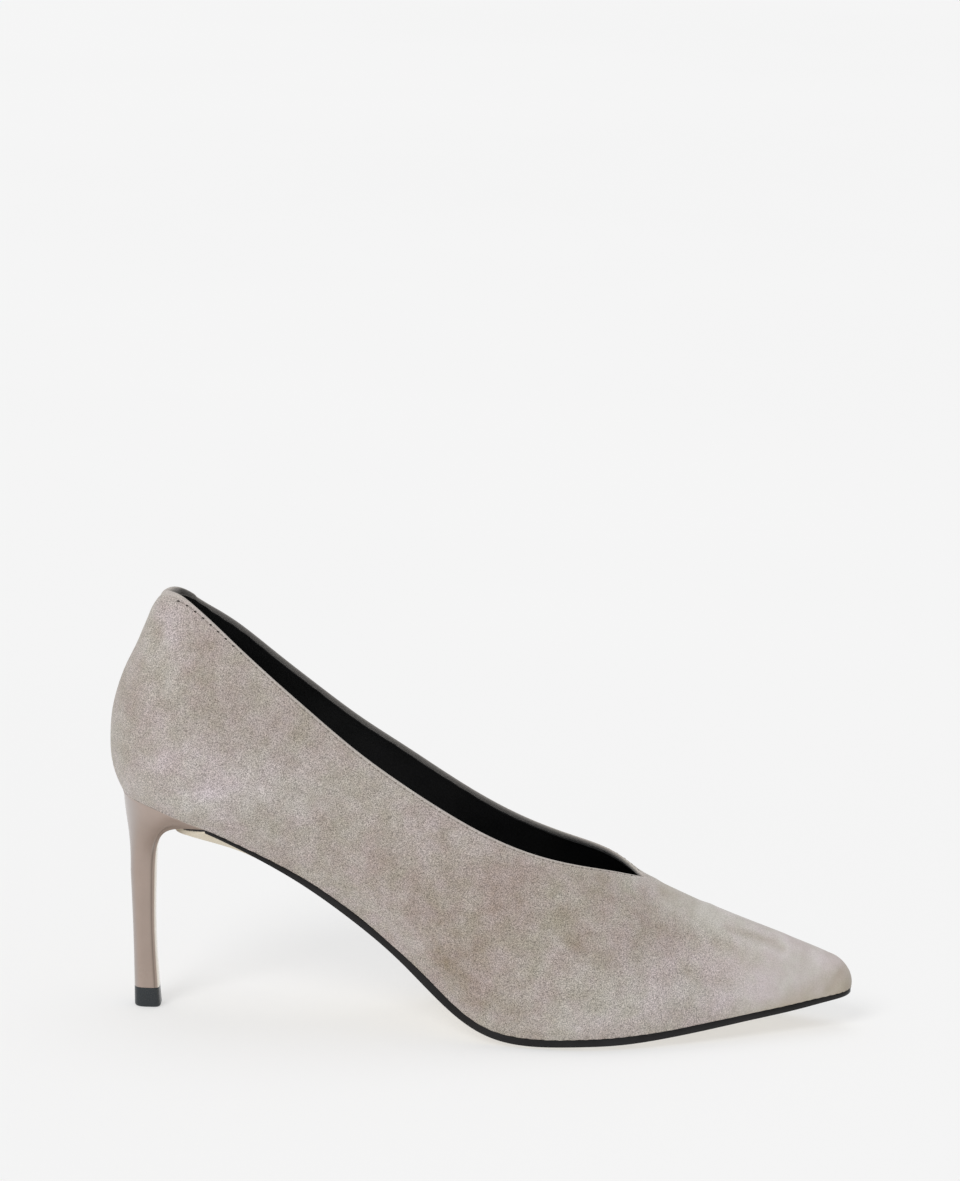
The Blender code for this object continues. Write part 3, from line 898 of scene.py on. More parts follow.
class Graph:
    """A node tree, with short calls to place nodes and join them."""

    def __init__(self, tree: bpy.types.NodeTree) -> None:
        """Keeps the tree to work on."""
        self.tree = tree

    def add(self, kind: str, inputs: dict[str | int, object] | None = None, **settings: object) -> Node:
        """Places a node.

        Args:
            kind: the node's type name.
            inputs: by socket name or number, a value or another node's output socket.
            settings: the node's own properties.

        Returns:
            The node.
        """
        node = self.tree.nodes.new(kind)
        for name, value in settings.items():
            setattr(node, name, value)
        for name, value in (inputs or {}).items():
            if isinstance(value, Socket):
                self.tree.links.new(value, node.inputs[name])
            else:
                node.inputs[name].default_value = value
        return node

    def math(self, operation: str, first: object, second: object) -> Socket:
        """One arithmetic step on two values."""
        return self.add("ShaderNodeMath", {0: first, 1: second}, operation=operation).outputs[0]

    def weigh(self, base: float, *terms: tuple[object, float]) -> Socket:
        """A base value plus each value times its weight.

        Args:
            base: the value to start from.
            terms: pairs of a value and its weight.

        Returns:
            The sum.
        """
        total: object = base
        for value, weight in terms:
            step = self.add("ShaderNodeMath", {0: value, 1: weight, 2: total}, operation="MULTIPLY_ADD")
            total = step.outputs[0]
        return total

    def mix(self, factor: object, first: object, second: object, held: bool = True) -> Socket:
        """A mix of two colours, which may run on past both of them where it isn't held."""
        values = {0: factor, 6: tinted(first), 7: tinted(second)}
        return self.add("ShaderNodeMix", values, data_type="RGBA", clamp_factor=held).outputs[2]

    def tint(self, colour: object, value: object, share: float, towards: Colour) -> Socket:
        """A colour carried towards another by a share of a value."""
        return self.mix(self.math("MULTIPLY", value, share), colour, towards)

    def scale(self, colour: object, factor: object) -> Socket:
        """A colour made darker or lighter by a factor."""
        return self.add("ShaderNodeVectorMath", {0: colour, "Scale": factor}, operation="SCALE").outputs[0]

    def ramp(self, value: object, low: float, high: float, start: float = 0.0, end: float = 1.0) -> Socket:
        """A value carried from one range to another, held at its ends."""
        ends = {"Value": value, "From Min": low, "From Max": high, "To Min": start, "To Max": end}
        return self.add("ShaderNodeMapRange", ends, interpolation_type="SMOOTHSTEP").outputs[0]

    def mark(self, name: str) -> Socket:
        """One of the piece's own attributes."""
        return self.add("ShaderNodeAttribute", attribute_name=name).outputs["Fac"]

    def group(self, tree: bpy.types.NodeTree, **values: float) -> dict[str, Socket]:
        """Places a node group with its own values and gives its outputs by name."""
        return dict(self.add("ShaderNodeGroup", values, node_tree=tree).outputs.items())

    def bump(self, height: object, distance: float, strength: float = 0.5) -> Socket:
        """A normal tilted by a height, which is a share of a distance in millimetres."""
        values = {"Height": height, "Distance": distance * MM, "Strength": strength}
        return self.add("ShaderNodeBump", values).outputs["Normal"]


def tinted(value: object) -> object:
    """A colour of three shares with its alpha, or a socket as it is."""
    return (*value, 1.0) if isinstance(value, tuple) and len(value) == 3 else value


class Effects:
    """The effects that several finishes share, each a node group with a size and a seed."""

    def __init__(self) -> None:
        """Builds the groups once."""
        self.clouds = self.make("soft_clouds", self.draw_clouds)
        self.grain = self.make("fine_grain", self.draw_grain)
        self.rubs = self.make("light_rubs", self.draw_rubs)

    @staticmethod
    def make(name: str, draw: Callable[[Graph, Socket, Socket], dict[str, Socket]]) -> bpy.types.NodeTree:
        """Makes a group with named number sockets.

        Args:
            name: name of the group.
            draw: places its nodes, given the graph, the size and the seed, and gives its outputs by name.

        Returns:
            The group.
        """
        tree = bpy.data.node_groups.new(name, "ShaderNodeTree")
        for socket in ("Size", "Seed"):
            tree.interface.new_socket(socket, in_out="INPUT", socket_type="NodeSocketFloat")
        given = tree.nodes.new("NodeGroupInput")
        drawn = draw(Graph(tree), given.outputs["Size"], given.outputs["Seed"])
        for socket in drawn:
            tree.interface.new_socket(socket, in_out="OUTPUT", socket_type="NodeSocketFloat")
        out = tree.nodes.new("NodeGroupOutput")
        for socket, source in drawn.items():
            tree.links.new(source, out.inputs[socket])
        return tree

    @staticmethod
    def noise(graph: Graph, size: object, seed: object, detail: float, rough: float) -> Socket:
        """A seeded noise on Object coordinates.

        Args:
            graph: the group's nodes.
            size: waves to the metre.
            seed: which of the noises.
            detail: how many finer noises are added.
            rough: how strong they are.

        Returns:
            The noise.
        """
        place = graph.add("ShaderNodeTexCoord").outputs["Object"]
        values = {"Vector": place, "W": seed, "Scale": size, "Detail": detail, "Roughness": rough}
        return graph.add("ShaderNodeTexNoise", values, noise_dimensions="4D").outputs["Fac"]

    def draw_clouds(self, graph: Graph, size: Socket, seed: Socket) -> dict[str, Socket]:
        """Broad soft clouds: one noise for shade and a slower one for hue, both spread to the full range.

        Args:
            graph: the group's nodes.
            size: waves to the metre.
            seed: which of the clouds.

        Returns:
            Shade and hue.
        """
        shade = self.noise(graph, size, seed, detail=3.0, rough=0.55)
        slow, other = graph.math("MULTIPLY", size, 0.7), graph.math("ADD", seed, 7.3)
        hue = self.noise(graph, slow, other, detail=2.0, rough=0.5)
        return {"Shade": graph.ramp(shade, low=0.3, high=0.7), "Hue": graph.ramp(hue, low=0.32, high=0.68)}

    def draw_grain(self, graph: Graph, size: Socket, seed: Socket) -> dict[str, Socket]:
        """Fine grain: two noises, the second at twice the pitch, added and spread.

        Args:
            graph: the group's nodes.
            size: waves to the metre.
            seed: which of the grains.

        Returns:
            The spread grain, and its height before that.
        """
        coarse = self.noise(graph, size, seed, detail=3.0, rough=0.6)
        quick, other = graph.math("MULTIPLY", size, 2.0), graph.math("ADD", seed, 3.1)
        fine = self.noise(graph, quick, other, detail=3.0, rough=0.65)
        both = graph.weigh(0.0, (coarse, 0.6), (fine, 0.4))
        return {"Grain": graph.ramp(both, low=0.34, high=0.66), "Height": both}

    def draw_rubs(self, graph: Graph, size: Socket, seed: Socket) -> dict[str, Socket]:
        """Scattered light rubs: the crests of a broad noise broken up by a finer one.

        Args:
            graph: the group's nodes.
            size: waves to the metre.
            seed: which of the rubs.

        Returns:
            Where the rubs are.
        """
        broad = self.noise(graph, size, seed, detail=2.0, rough=0.6)
        quick, other = graph.math("MULTIPLY", size, 6.0), graph.math("ADD", seed, 5.7)
        broken = self.noise(graph, quick, other, detail=3.0, rough=0.7)
        crests = graph.ramp(broad, low=0.5, high=0.72)
        return {"Mask": graph.math("MULTIPLY", crests, graph.ramp(broken, low=0.42, high=0.62))}


# Finishes


@dataclass(frozen=True)
class Finish:
    """What every finish has: a name, the shader's constant values, and what feeds its other sockets."""

    name: str
    constants: ClassVar[Constants] = {}

    def sockets(self, graph: Graph, effects: Effects) -> dict[str, Socket]:
        """What feeds the shader, by socket, which each finish says for itself."""
        raise NotImplementedError

    def material(self, effects: Effects) -> bpy.types.Material:
        """Makes a material, sets its shader's constants and feeds its other sockets.

        Args:
            effects: shared node groups.

        Returns:
            The material.
        """
        made = bpy.data.materials.new(self.name)
        made.use_nodes = True
        shader = made.node_tree.nodes["Principled BSDF"]
        for name, value in self.constants.items():
            shader.inputs[name].default_value = value
        graph = Graph(made.node_tree)
        for name, source in self.sockets(graph, effects).items():
            graph.tree.links.new(source, shader.inputs[name])
        return made


@dataclass(frozen=True)
class Suede(Finish):
    """Brushed suede: a short nap that lies in cloudy patches, over a fine speckled grain."""

    name: str = "brushed_suede"
    olive_dark: Colour = (0.271, 0.232, 0.155)
    olive_light: Colour = (0.550, 0.522, 0.480)
    pink_dark: Colour = (0.289, 0.218, 0.162)
    pink_light: Colour = (0.586, 0.514, 0.524)
    tan: Colour = (0.445, 0.385, 0.265)
    edge_highlight: Colour = (0.600, 0.560, 0.520)
    edge_dull_and_shade: Colour = (0.170, 0.165, 0.158)
    lining: Colour = (0.010, 0.010, 0.011)
    cloud_size: float = 48.0
    mottle_size: float = 190.0
    grain_size: float = 2700.0
    middle: float = 0.59
    cloud_share: float = 0.12
    mottle_share: float = 0.21
    grain_share: float = 1.3
    hue_least: float = 0.02
    cloud_hue: float = 0.4
    mottle_hue: float = 0.56
    highlight_share: float = 0.45
    dull_and_shade_share: float = 0.85
    grain_height: float = 0.7
    mottle_height: float = 0.2
    rough_low: float = 0.98
    rough_high: float = 0.86
    relief: float = 0.22
    constants: ClassVar[Constants] = {
        "Sheen Weight": 0.4,
        "Sheen Roughness": 0.45,
        "Sheen Tint": (0.92, 0.91, 0.90, 1.0),
        "Specular IOR Level": 0.12,
    }

    def sockets(self, graph: Graph, effects: Effects) -> dict[str, Socket]:
        """Tone is clouds, mottle, nap marks partly painted light and shade, and grain about a middle, and
        hue leans from olive to pink; the edge gets a painted highlight and a dull grey that is partly
        painted shade.

        Args:
            graph: the material's nodes.
            effects: shared node groups.

        Returns:
            What feeds the shader, by socket.
        """
        clouds = graph.group(effects.clouds, Size=self.cloud_size, Seed=1.7)
        mottle = graph.group(effects.clouds, Size=self.mottle_size, Seed=5.2)
        grain = graph.group(effects.grain, Size=self.grain_size, Seed=2.4)["Grain"]
        speckle = graph.math("MULTIPLY", graph.math("SUBTRACT", grain, 0.5), graph.mark("grain"))
        # The nap mark brings painted light and shade along with the nap's own patches.
        tone = graph.weigh(
            self.middle - (self.cloud_share + self.mottle_share) / 2,
            (clouds["Shade"], self.cloud_share),
            (mottle["Shade"], self.mottle_share),
            (graph.mark("nap"), 1.0),
        )
        hue = graph.weigh(
            self.hue_least,
            (clouds["Hue"], self.cloud_hue),
            (mottle["Hue"], self.mottle_hue),
            (graph.mark("warmth"), 1.0),
        )
        olive = graph.mix(tone, self.olive_dark, self.olive_light, held=False)
        pink = graph.mix(tone, self.pink_dark, self.pink_light, held=False)
        colour = graph.scale(graph.mix(hue, olive, pink), graph.weigh(1.0, (speckle, self.grain_share)))
        colour = graph.mix(graph.mark("tan"), colour, self.tan)
        # Painted highlight along the turned edge.
        colour = graph.tint(colour, graph.mark("pale"), self.highlight_share, self.edge_highlight)
        # Dull grey on the inside and the lip's inner half: partly the cut's own colour, partly painted
        # shade.
        colour = graph.tint(colour, graph.mark("dull"), self.dull_and_shade_share, self.edge_dull_and_shade)
        height = graph.weigh(0.0, (speckle, self.grain_height), (mottle["Shade"], self.mottle_height))
        return {
            "Base Color": graph.mix(graph.mark("lined"), colour, self.lining),
            "Roughness": graph.ramp(grain, 0.0, 1.0, self.rough_low, self.rough_high),
            "Normal": graph.bump(height, self.relief),
        }


@dataclass(frozen=True)
class Lacquer(Finish):
    """Satin lacquer over a moulded heel, uneven and rubbed, with painted shade along the arris and on the
    dull underside, and painted reflections on the back and on the breast's face.
    """

    name: str = "heel_lacquer"
    body: Colour = (0.405, 0.314, 0.268)
    shade: Colour = (0.368, 0.286, 0.240)
    rub: Colour = (0.430, 0.360, 0.310)
    # Colour of the painted shade along the arris and on the underside.
    arris: Colour = (0.150, 0.112, 0.085)
    # Pale colour of the painted reflection on the breast's face.
    breast: Colour = (0.950, 0.900, 0.800)
    # Greyer colour of the painted reflection on the heel's back half.
    cool: Colour = (0.372, 0.328, 0.312)
    rub_share: float = 0.25
    back_reflection_share: float = 0.7
    breast_reflection_share: float = 0.9
    arris_shade_share: float = 0.7
    under_shade_share: float = 0.14
    rough: float = 0.30
    cloud_rough: float = 0.06
    rub_rough: float = 0.14
    under_rough: float = 0.5
    coat: float = 0.75
    rub_coat: float = -0.35
    relief: float = 0.03
    constants: ClassVar[Constants] = {
        "Coat Roughness": 0.10,
        "Coat IOR": 1.5,
        "Specular IOR Level": 0.25,
    }

    def sockets(self, graph: Graph, effects: Effects) -> dict[str, Socket]:
        """Two close colours in clouds under a thin clear coat, which thins out at rubs and underneath, with
        painted shade and painted reflections laid on by the marks.

        Args:
            graph: the material's nodes.
            effects: shared node groups.

        Returns:
            What feeds the shader, by socket.
        """
        clouds = graph.group(effects.clouds, Size=60.0, Seed=3.3)
        rubs = graph.group(effects.rubs, Size=120.0, Seed=8.1)["Mask"]
        grain = graph.group(effects.grain, Size=420.0, Seed=6.2)
        # The underside mark: painted shade in the colour, and a rougher finish without coat.
        under = graph.mark("under")
        colour = graph.mix(clouds["Shade"], self.body, self.shade)
        colour = graph.tint(colour, rubs, self.rub_share, self.rub)
        # Painted reflection on the back half.
        colour = graph.tint(colour, graph.mark("back"), self.back_reflection_share, self.cool)
        # Pale painted reflection on the breast's face.
        colour = graph.tint(colour, graph.mark("breast"), self.breast_reflection_share, self.breast)
        # Painted shade along the arris and on the underside.
        dark = graph.weigh(0.0, (graph.mark("arris"), self.arris_shade_share), (under, self.under_shade_share))
        dull = ((clouds["Hue"], self.cloud_rough), (rubs, self.rub_rough), (under, self.under_rough))
        return {
            "Base Color": graph.mix(dark, colour, self.arris),
            "Roughness": graph.weigh(self.rough, *dull),
            "Coat Weight": graph.weigh(self.coat, (rubs, self.rub_coat), (under, -self.coat)),
            "Normal": graph.bump(grain["Height"], self.relief),
        }


@dataclass(frozen=True)
class Rubber(Finish):
    """Hard dark rubber of the top lift, rubbed pale towards its tread."""

    name: str = "hard_rubber"
    body: Colour = (0.006, 0.011, 0.015)
    pale: Colour = (0.044, 0.053, 0.060)
    rub_pale: float = 0.35
    tread_pale: float = 0.1
    grain_pale: float = 0.12
    rough: float = 0.24
    tread_rough: float = 0.3
    grain_rough: float = 0.08
    relief: float = 0.08
    constants: ClassVar[Constants] = {"Specular IOR Level": 0.6}

    def sockets(self, graph: Graph, effects: Effects) -> dict[str, Socket]:
        """Dark body with fine grain, lighter in rubs and towards the tread.

        Args:
            graph: the material's nodes.
            effects: shared node groups.

        Returns:
            What feeds the shader, by socket.
        """
        grain = graph.group(effects.grain, Size=1800.0, Seed=4.4)
        rubs = graph.group(effects.rubs, Size=300.0, Seed=2.9)["Mask"]
        tread = graph.mark("tread")
        worn = ((rubs, self.rub_pale), (tread, self.tread_pale), (grain["Grain"], self.grain_pale))
        dull = ((tread, self.tread_rough), (grain["Grain"], self.grain_rough))
        return {
            "Base Color": graph.mix(graph.weigh(0.0, *worn), self.body, self.pale),
            "Roughness": graph.weigh(self.rough, *dull),
            "Normal": graph.bump(grain["Height"], self.relief),
        }


@dataclass(frozen=True)
class InkedSole(Finish):
    """A pale sole leather whose edge is inked black, with the ink running a little way under."""

    name: str = "inked_sole"
    ink: Colour = (0.008, 0.007, 0.007)
    sheen: Colour = (0.019, 0.018, 0.019)
    leather: Colour = (0.760, 0.690, 0.560)
    shade: Colour = (0.640, 0.560, 0.430)
    reach: float = 1.1
    fade: float = 0.5
    shake: float = 0.35
    sheen_share: float = 0.6
    rub_share: float = 0.35
    rough: float = 0.36
    bare_rough: float = 0.22
    grain_rough: float = 0.08
    relief: float = 0.10
    relief_strength: float = 0.45
    constants: ClassVar[Constants] = {"Specular IOR Level": 0.24}

    def sockets(self, graph: Graph, effects: Effects) -> dict[str, Socket]:
        """Ink where the distance from the edge, shaken by grain, is short, and clouded leather beyond it.

        Args:
            graph: the material's nodes.
            effects: shared node groups.

        Returns:
            What feeds the shader, by socket.
        """
        clouds = graph.group(effects.clouds, Size=70.0, Seed=9.4)["Shade"]
        grain = graph.group(effects.grain, Size=900.0, Seed=1.2)
        rubs = graph.group(effects.rubs, Size=90.0, Seed=6.6)["Mask"]
        away = graph.weigh(0.0, (graph.mark("from_edge"), 1.0), (grain["Grain"], self.shake))
        bare = graph.ramp(away, self.reach, self.reach + self.fade)
        ink = graph.tint(self.ink, clouds, self.sheen_share, self.sheen)
        leather = graph.tint(graph.mix(clouds, self.leather, self.shade), rubs, self.rub_share, self.shade)
        dull = ((bare, self.bare_rough), (grain["Grain"], self.grain_rough))
        return {
            "Base Color": graph.mix(bare, ink, leather),
            "Roughness": graph.weigh(self.rough, *dull),
            "Normal": graph.bump(grain["Height"], self.relief, self.relief_strength),
        }


@dataclass(frozen=True)
class BlackLeather(Finish):
    """Soft black leather with fine pores, for the lining and the sock."""

    name: str = "black_lining"
    body: Colour = (0.0035, 0.0037, 0.0040)
    bloom: Colour = (0.0085, 0.0085, 0.0090)
    pores: float = 1100.0
    rough: float = 0.52
    pore_rough: float = 0.18
    relief: float = 0.25
    constants: ClassVar[Constants] = {"Specular IOR Level": 0.28}

    def sockets(self, graph: Graph, effects: Effects) -> dict[str, Socket]:
        """Near black in soft clouds, with a pored relief and a dull gloss that the pores break up.

        Args:
            graph: the material's nodes.
            effects: shared node groups.

        Returns:
            What feeds the shader, by socket.
        """
        clouds = graph.group(effects.clouds, Size=45.0, Seed=4.9)
        grain = graph.group(effects.grain, Size=self.pores, Seed=7.7)
        return {
            "Base Color": graph.mix(clouds["Shade"], self.body, self.bloom),
            "Roughness": graph.weigh(self.rough, (grain["Grain"], self.pore_rough)),
            "Normal": graph.bump(grain["Height"], self.relief),
        }


@dataclass(frozen=True)
class Thread(Finish):
    """Spun sewing thread, with painted shade where it dips into the leather."""

    name: str = "sewing_thread"
    body: Colour = (0.340, 0.295, 0.262)
    dip: Colour = (0.050, 0.042, 0.036)
    fibre_dark: float = 0.2
    rough: float = 0.7
    fibre_rough: float = 0.2
    relief: float = 0.1
    constants: ClassVar[Constants] = {"Specular IOR Level": 0.2}

    def sockets(self, graph: Graph, effects: Effects) -> dict[str, Socket]:
        """Thread colour with fine fibres, running to dark with the dip mark, which is painted shade.

        Args:
            graph: the material's nodes.
            effects: shared node groups.

        Returns:
            What feeds the shader, by socket.
        """
        grain = graph.group(effects.grain, Size=3200.0, Seed=3.8)
        dip = graph.weigh(0.0, (graph.mark("dip"), 1.0), (grain["Grain"], self.fibre_dark))
        return {
            "Base Color": graph.mix(dip, self.body, self.dip),
            "Roughness": graph.weigh(self.rough, (grain["Grain"], self.fibre_rough)),
            "Normal": graph.bump(grain["Height"], self.relief),
        }


@dataclass(frozen=True)
class PaleFloor(Finish):
    """A pale matt table top, lit from below so that shadows on it stay faint."""

    name: str = "pale_floor"
    body: Colour = (0.475, 0.475, 0.475)
    shade: Colour = (0.465, 0.465, 0.465)
    rough: float = 0.9
    grain_rough: float = 0.1
    constants: ClassVar[Constants] = {
        "Emission Color": (1.0, 1.0, 1.0, 1.0),
        "Emission Strength": 0.48,
        "Specular IOR Level": 0.0,
    }

    def sockets(self, graph: Graph, effects: Effects) -> dict[str, Socket]:
        """Two very close pale tones in slow clouds, with a matt grain.

        Args:
            graph: the material's nodes.
            effects: shared node groups.

        Returns:
            What feeds the shader, by socket.
        """
        clouds = graph.group(effects.clouds, Size=1.5, Seed=2.2)
        grain = graph.group(effects.grain, Size=200.0, Seed=1.0)
        return {
            "Base Color": graph.mix(clouds["Shade"], self.body, self.shade),
            "Roughness": graph.weigh(self.rough, (grain["Grain"], self.grain_rough)),
        }


# The pieces


class Maker:
    """What every maker of a piece has: the piece's name, slot, replaced solids and finish."""

    title: ClassVar[str]
    slot: ClassVar[Slot]
    nodes: ClassVar[tuple[str, ...]] = ()
    finish: ClassVar[Finish]

    def sheets(self) -> Sheets:
        """The grids of the piece, which each maker works out for itself."""
        raise NotImplementedError

    def build(self, last: Last, effects: Effects) -> bpy.types.Object:
        """Makes the piece, gives it its finish and body, logs its slot, and hides the solids that it stands
        for.

        Args:
            last: the last that the piece is laid out on.
            effects: shared node groups.

        Returns:
            The piece.
        """
        piece = self.sheets().piece(self.title, last)
        piece.data.materials.append(self.finish.material(effects))
        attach(piece, BODY)
        if self.nodes:
            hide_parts(*self.nodes)
        log.info("%s: %d faces in slot %s", piece.name, len(piece.data.polygons), self.slot.value)
        return piece


@dataclass
class SuedeUpper(Maker):
    """The suede of the upper as a closed shell: outside, turned lip, inside, and a tucked lower edge."""

    title = "suede_upper"
    slot = Slot.UPPER
    nodes = ("upper",)
    finish = Suede()
    wall: Wall
    lip_steps: int = 12
    lip_bulge: float = 0.55
    pad_bulge: float = 1.35
    lap_bulge: float = 0.45
    lap_end: float = 2.6
    lap_fade: float = 0.15
    throat_turn: float = 0.5
    tuck: tuple[tuple[float, float], ...] = ((0.5, -0.28), (0.02, -0.30), (-0.09, -0.15))
    tuck_ahead: float = 0.45
    tuck_from: float = 4.3
    tuck_fade: float = 0.5
    fuzz: float = 0.16
    fuzz_waves: tuple[float, float] = (31.0, 53.0)
    fuzz_start: float = 1.0
    fuzz_out: float = 0.4
    fuzz_up: float = 0.6
    smooth_from: float = 196.0
    smooth_over: float = 34.0
    smooth_ridge: float = 9.0
    ridge_share: float = 0.75
    calm_most: float = 0.8
    crease_shade: float = 0.85
    highlight_reach: float = 0.5
    highlight_start: float = 1.6
    highlight_fall: float = 2.0
    dull_and_shade_start: float = -0.6
    dull_and_shade_rise: float = 2.2
    lined_from: float = 1.45
    lined_over: float = 0.5
    lined_across: float = 0.42
    lined_fade: float = 0.14

    def lip(self) -> Array:
        """The turned top edge: half an ellipse from the outside over to the inside, along the topline.

        Returns:
            Points by station and step, the first on the outside and the last on the inside.
        """
        wall = self.wall
        held = wall.collar
        at = wall.stations[held]
        top, normal = wall.points[held, -1], wall.normals[held, -1]
        along = np.gradient(top, axis=0)
        up = unit(np.cross(along, normal))
        middle = unit(up[0] + up[-1])
        end = smooth(1 - (wall.last.throat - np.abs(at)) / self.throat_turn)[:, None]
        up = unit(up * (1 - end) + middle * end)
        lap = smooth((self.lap_end - at) / self.lap_fade) * smooth(at)
        bulge = self.lip_bulge + self.pad_bulge * wall.padding[held] + self.lap_bulge * lap
        turn = np.linspace(0, math.pi, self.lip_steps + 1)[None, :, None]
        half = wall.thickness(np.zeros((1, 1)))[held] / 2
        centre = top - normal * half
        out = normal[:, None] * half[:, None] * np.cos(turn)
        return centre[:, None] + out + up[:, None] * bulge[:, None, None] * np.sin(turn)

    def foot(self) -> Array:
        """The lower edge tucked in over the sole, with a slight fuzz of two sines along it.

        Returns:
            Points by station and step, the first on the inside and the last on the outside.
        """
        wall, at = self.wall, self.wall.stations
        _, inward = wall.last.feather_line(at)
        sole = smooth((np.abs(at) - self.tuck_from) / self.tuck_fade)
        first, second = self.fuzz_waves
        fuzz = self.fuzz * np.sin(at * first) * np.sin(at * second + self.fuzz_start) * sole
        shake = np.column_stack([-inward * fuzz[:, None] * self.fuzz_out, fuzz * self.fuzz_up])
        rows = [wall.points[:, 0] - wall.normals[:, 0] * wall.thick]
        share = 1 + (self.tuck_ahead - 1) * sole
        for side, down in self.tuck:
            rows.append(wall.points[:, 0] + np.column_stack([inward * side, down * share]) + shake)
        rows.append(wall.points[:, 0])
        grid = np.stack(rows, axis=1)
        grid[-1] = grid[0]
        return grid

    def marks(
        self, grid: Array, pale: Array | float, dull: Array | float, lined: Array | float = 0.0
    ) -> dict[str, Array | float]:
        """Marks of the finish at each point of a grid.

        Args:
            grid: points of the shell.
            pale: how far the turned edge and the outside just below it are paled by a painted highlight.
            dull: how far the inside and the edge are a dull grey, partly the cut's own colour and partly
                painted shade.
            lined: how far the lining laps over it.

        Returns:
            Nap with its painted light and shade, warmth and tan, summed from patches and creases, the
            grain's strength and the edge's marks with their painted highlight and shade.
        """
        # The nap mark is partly the nap's own patches and partly painted light and shade.
        spreads = [(patch, patch.spread(grid)) for patch in NAP_AND_PAINTED_LIGHT]
        nap = sum(patch.lift * spread for patch, spread in spreads)
        # The creases add painted shade in their troughs and a painted highlight on their ridges.
        nap = nap + self.crease_shade * sum(crease.shade(grid) for crease in CREASES)
        warmth = sum(patch.warmth * spread for patch, spread in spreads)
        tan = sum(patch.lift * patch.spread(grid) for patch in TAN)
        last = self.wall.last
        x, z = grid[..., 0], grid[..., 2]
        along = column(RIDGE, "along") * last.length
        drop = np.interp(x, along, column(RIDGE, "height") * last.instep_height) - z
        top = smooth(1 - drop / self.smooth_ridge) * smooth((x - along[0]) / self.smooth_ridge)
        calm = np.maximum(smooth((x - self.smooth_from) / self.smooth_over), self.ridge_share * top)
        edge = {"pale": pale, "dull": dull, "lined": lined, "tan": tan}
        return {"nap": nap, "warmth": warmth, "grain": 1 - self.calm_most * calm, **edge}

    def sheets(self) -> Sheets:
        """The outside, the inside, the lip and the tucked edge, with the marks of the suede.

        Returns:
            The grids.
        """
        wall = self.wall
        outside = wall.points
        inside = outside - wall.normals * wall.thickness(wall.below)[..., None]
        lip, foot = self.lip(), self.foot()
        across = np.linspace(0, 1, self.lip_steps + 1)[None]
        # Painted highlight along the top of the outside and the outer part of the lip.
        rubbed = np.exp(-wall.below / self.highlight_reach) * wall.collar[:, None]
        pale = smooth(self.highlight_start - self.highlight_fall * across)
        # The lip's inner half, like the whole inside, turns dull grey: partly the cut's own colour, partly
        # painted shade.
        dull = smooth(self.dull_and_shade_start + self.dull_and_shade_rise * across)
        apart = np.abs(wall.stations[wall.collar])[:, None]
        padded = np.sqrt(wall.padding[wall.collar, None])
        beside = smooth((apart - self.lined_from) / self.lined_over) * padded
        lined = smooth((across - self.lined_across) / self.lined_fade) * beside
        made = Sheets()
        made.add(outside, flip=True, **self.marks(outside, rubbed, 0.0))
        made.add(inside, **self.marks(inside, 0.0, 1.0))
        made.add(lip, flip=True, **self.marks(lip, pale, dull, lined))
        made.add(foot, flip=True, **self.marks(foot, 0.0, 0.0))
        return made


@dataclass
class Lining(Maker):
    """The black lining on the inside of the upper, stopping just below the turned edge."""

    title = "shoe_lining"
    slot = Slot.INSOLE
    finish = BlackLeather()
    wall: Wall
    sunk: float = 0.05
    proud: float = 0.40
    below: float = 0.60
    wobble: float = 0.12
    wobble_waves: tuple[float, float] = (9.1, 5.3)
    wobble_start: float = 1.0
    throat_below: float = 1.9
    throat_fade: float = 0.9
    throat_reach: float = 0.3
    hair: float = 1e-6
    rows: int = 30

    def top_edge(self) -> Array:
        """How far below the turned edge the lining stops: wavering, more by the throat, none ahead of it.

        Returns:
            The distance at each station.
        """
        at = np.abs(self.wall.stations)
        throat = self.wall.last.throat
        first, second = self.wobble_waves
        waver = np.sin(first * self.wall.stations) * np.sin(second * at + self.wobble_start)
        near = smooth((at - throat + self.throat_fade) / self.throat_fade)
        usual = self.below + self.wobble * waver + (self.throat_below - self.below) * near
        ahead = np.clip((throat + self.throat_reach - at) / self.throat_reach, 0, 1)
        return np.where(at <= throat, usual, self.throat_below * ahead)

    def sheets(self) -> Sheets:
        """Offsets lines of the wall inwards to both faces of the lining and closes its edges.

        Returns:
            The grids.
        """
        wall = self.wall
        edge, total = self.top_edge(), wall.below[:, 0]
        depths = [total * (1 - v) + edge * v for v in np.linspace(0, 1, self.rows + 1)]
        lines = [wall.line(depth) for depth in depths]
        points = np.stack([line[0] for line in lines], axis=1)
        normals = np.stack([line[1] for line in lines], axis=1)
        thick = wall.thickness(np.stack(depths, axis=1))[..., None]
        hidden, shown = points - normals * (thick - self.sunk), points - normals * (thick + self.proud)
        rim = np.abs(wall.stations) <= wall.last.throat + self.throat_reach + self.hair
        made = Sheets()
        made.add(hidden, flip=True)
        made.add(shown)
        made.add(np.stack([hidden[rim, -1], shown[rim, -1]], axis=1), flip=True)
        made.add(np.stack([shown[:, 0], hidden[:, 0]], axis=1), flip=True)
        return made


